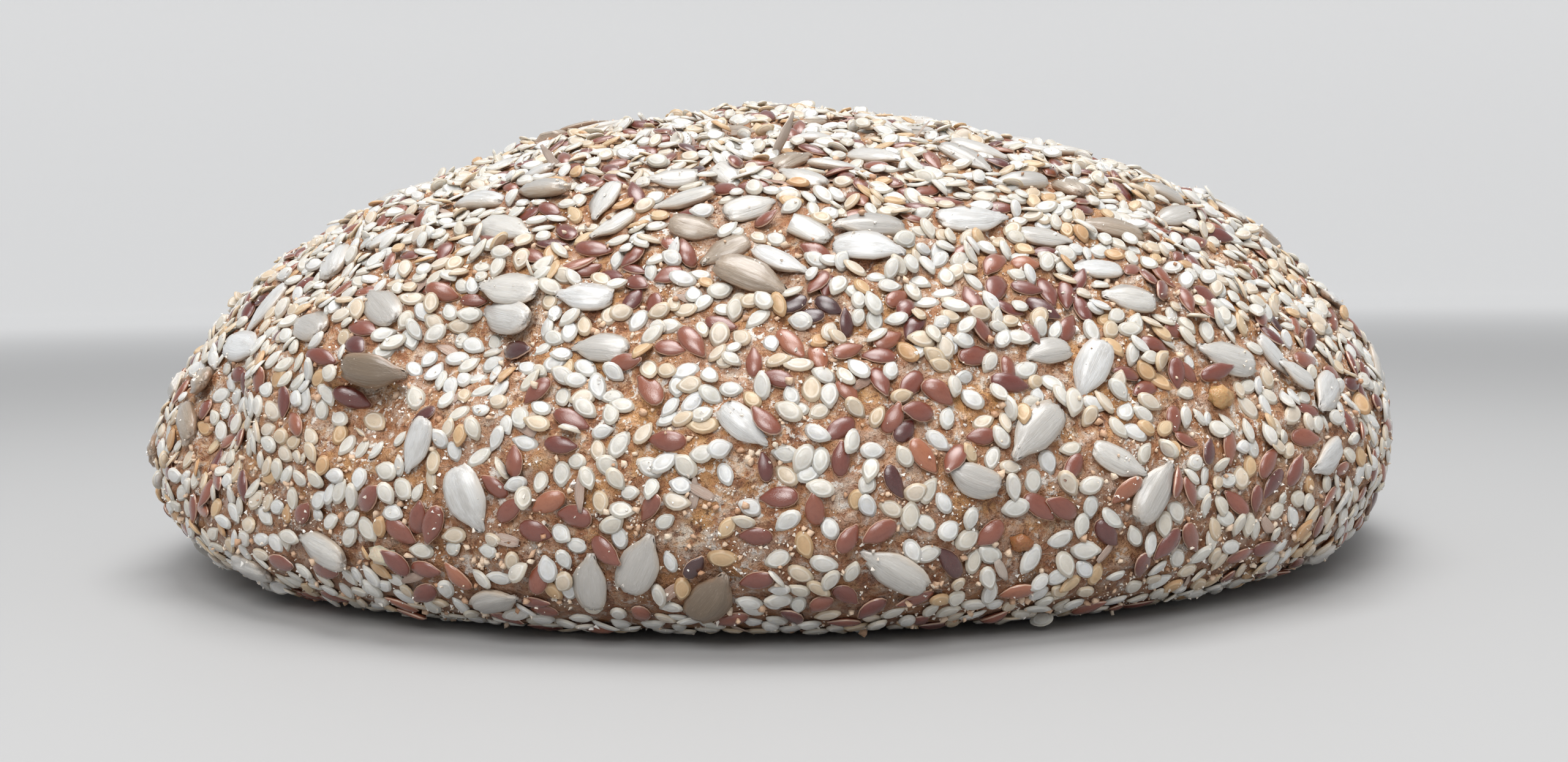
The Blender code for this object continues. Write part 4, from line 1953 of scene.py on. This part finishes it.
    def scatter(self, bed: Bed, kind: Kind, count: int, choose: Callable[[], tuple[Batch, float, int]],
                patches: list[tuple[np.ndarray, Patch]], unseen: bool = False) -> None:
        """Scatter seeds of one kind until there are enough.

        Args:
            bed: What they are laid on.
            kind: Their kind.
            count: How many are wanted.
            choose: Draws the batch, the tint and the model of the next one.
            patches: Where fewer are wanted.
            unseen: Whether the part that the picture shows is left out.
        """
        laid = 0
        for spot, up in bed.spots(count * self.tries, self.draw):
            if laid >= count:
                break
            if unseen and bed.seen(spot, up) > self.turned_away:
                continue
            if self.draw.random() > self.wanted(spot, patches):
                continue
            high = smooth_step((spot[2] - self.thin_below) / self.rises)
            room = kind.room * (0.42 + 0.58 * high) * self.draw.random() ** 0.5 + 0.02
            batch, tint, mould = choose()
            laid += self.lay(bed, batch, kind, tint, spot, up, room, mould)
        log.info("scattered %d of %d", laid, count)

    def choose_kernel(self) -> tuple[Batch, float, int]:
        """Draw a kernel: most pale, some soaked, a few split or broken.

        Returns:
            Its batch, its tint and the number of its model.
        """
        soaked = self.draw.random() < self.soaked_share
        mould = int(self.draw.choice(len(self.cut_shares), p=self.cut_shares))
        return (self.soaked if soaked else self.pale), self.draw.beta(*self.kernel_tints), mould

    def choose_flax(self) -> tuple[Batch, float, int]:
        """Draw a flax seed, from dark to orange brown."""
        return self.flaxes, self.draw.beta(*self.flax_tints), 0

    def choose_sesame(self) -> tuple[Batch, float, int]:
        """Draw a sesame seed: most white or ivory, some cream, a few toasted."""
        batch = self.sesames[int(self.draw.choice(len(self.sesames), p=self.sesame_shares))]
        return batch, self.draw.random(), int(self.draw.integers(len(batch.casts)))

    def choose_husk(self) -> tuple[Batch, float, int]:
        """Draw a scrap of husk or a shred of bran."""
        return self.husks, self.draw.random(), int(self.draw.integers(len(self.husks.casts)))

    def crumble(self, bed: Bed, batch: Batch, heaps: Heaps) -> None:
        """Strew crumbs in loose heaps over the crust and the seeds.

        Args:
            bed: What they are strewn on.
            batch: The batch that they belong to.
            heaps: How they lie.
        """
        for spot, up in bed.spots(heaps.count, self.draw):
            spread = self.draw.uniform(heaps.closest, heaps.widest)
            for _ in range(1 + int(heaps.most * self.draw.random() ** 2)):
                place = spot + self.draw.normal(0, spread, 3)
                place = place - up * ((place - spot) @ up)
                radius = 0.5 * (heaps.smallest + (heaps.largest - heaps.smallest) * self.draw.random() ** 2.5)
                half = radius * self.draw.uniform(0.7, 1.3, 3)
                top = float(bed.tops(place[None], up, bed.neighbours(place, 1))[0])
                bare = bed.crust_height(place, up)
                if top >= bare and self.draw.random() > heaps.stays:
                    continue
                axes = self.any_turn(up)
                middle = place + up * (max(bare, top) + self.crumb_rise * radius)
                if middle[2] > heaps.lowest:
                    mould = int(self.draw.integers(len(batch.casts)))
                    batch.seeds.append(Seed(middle, axes, half, self.draw.random(), mould=mould))

    def any_turn(self, up: np.ndarray) -> np.ndarray:
        """Draw a crumb's axes, one of them level.

        Args:
            up: The way up from the dough.

        Returns:
            The axes as columns.
        """
        along = self.heading()
        along /= np.linalg.norm(along)
        across = np.cross(up, along)
        across /= np.linalg.norm(across)
        return np.column_stack([along, across, np.cross(along, across)])

    def build(self, bed: Bed) -> None:
        """Lay everything, the largest first, and pour each batch.

        Args:
            bed: What it is laid on.
        """
        patches = []
        for patch in PATCHES:
            found = bed.sight(patch.pixel)
            if found is not None:
                patches.append((found[0], patch))
        whole, broken = None, list(KernelCut).index(KernelCut.BROKEN)
        seen = (
            (self.pale, self.kernel, WHITE_KERNELS, 0.15, whole),
            (self.pale, self.kernel, CREAM_KERNELS, 0.5, whole),
            (self.pale, self.kernel, GREY_KERNELS, 0.85, whole),
            (self.soaked, self.kernel, BROWN_KERNELS, 0.4, whole),
            (self.soaked, self.kernel, DARK_KERNELS, 1.0, whole),
            (self.pale, self.kernel, BROKEN_KERNELS, 0.4, broken),
            (self.grits, self.grit, GOLDEN_GRITS, 0.5),
            (self.grits, self.grit, PALE_GRITS, 0.0),
            (self.grits, self.grit, AMBER_GRITS, 0.9),
            (self.flaxes, self.flax, DARK_FLAX, 0.05),
            (self.flaxes, self.flax, RED_FLAX, 0.28),
            (self.flaxes, self.flax, BROWN_FLAX, 0.48),
            (self.flaxes, self.flax, ORANGE_FLAX, 0.85),
            (self.sesames[-1], self.sesame, AMBER_SESAME, 0.5),
            (self.husks, self.husk, HUSKS, 0.5),
        )
        for group in seen:
            self.lay_seen(bed, *group)
        self.scatter(bed, self.kernel, self.kernels_hidden, self.choose_kernel, [], unseen=True)
        self.scatter(bed, self.flax, self.flax_in_all - len(self.flaxes.seeds), self.choose_flax, patches)
        self.scatter(bed, self.husk, self.husks_in_all, self.choose_husk, [])
        self.scatter(bed, self.sesame, self.sesame_flat, self.choose_sesame, patches)
        self.scatter(bed, self.sesame_on_edge, self.sesame_upturned, self.choose_sesame, patches)
        self.stand_up(bed, STANDING_HUSKS)
        self.crumble(bed, self.flour, self.flour_heaps)
        self.crumble(bed, self.crusty, self.crust_heaps)
        for batch in (self.pale, self.soaked, self.flaxes, *self.sesames, self.husks, self.grits, self.flour,
                      self.crusty):
            batch.pour()


def main() -> None:
    """Build the scene: camera and studio, then the crust, then all that lies on it."""
    logging.basicConfig(level=logging.INFO, format="%(name)s: %(message)s", stream=sys.stdout, force=True)
    camera = PhotoCamera()
    camera.build()
    Studio().build()
    loaf = Crust()
    crust, dough = loaf.build()
    log.info("crust: %d faces", len(crust.data.polygons))
    bed = Bed(crust, dough, camera)
    log.info("seeded crust: %.0f cm2", 1e4 * bed.area)
    bpy.data.objects.remove(dough)
    Toppings().build(bed)
    # Paint contact shade, with the look of moist dough, round the seeds and in the fold.
    bed.paint_damp_shade(crust, loaf.fold())


if __name__ == "__main__":
    main()
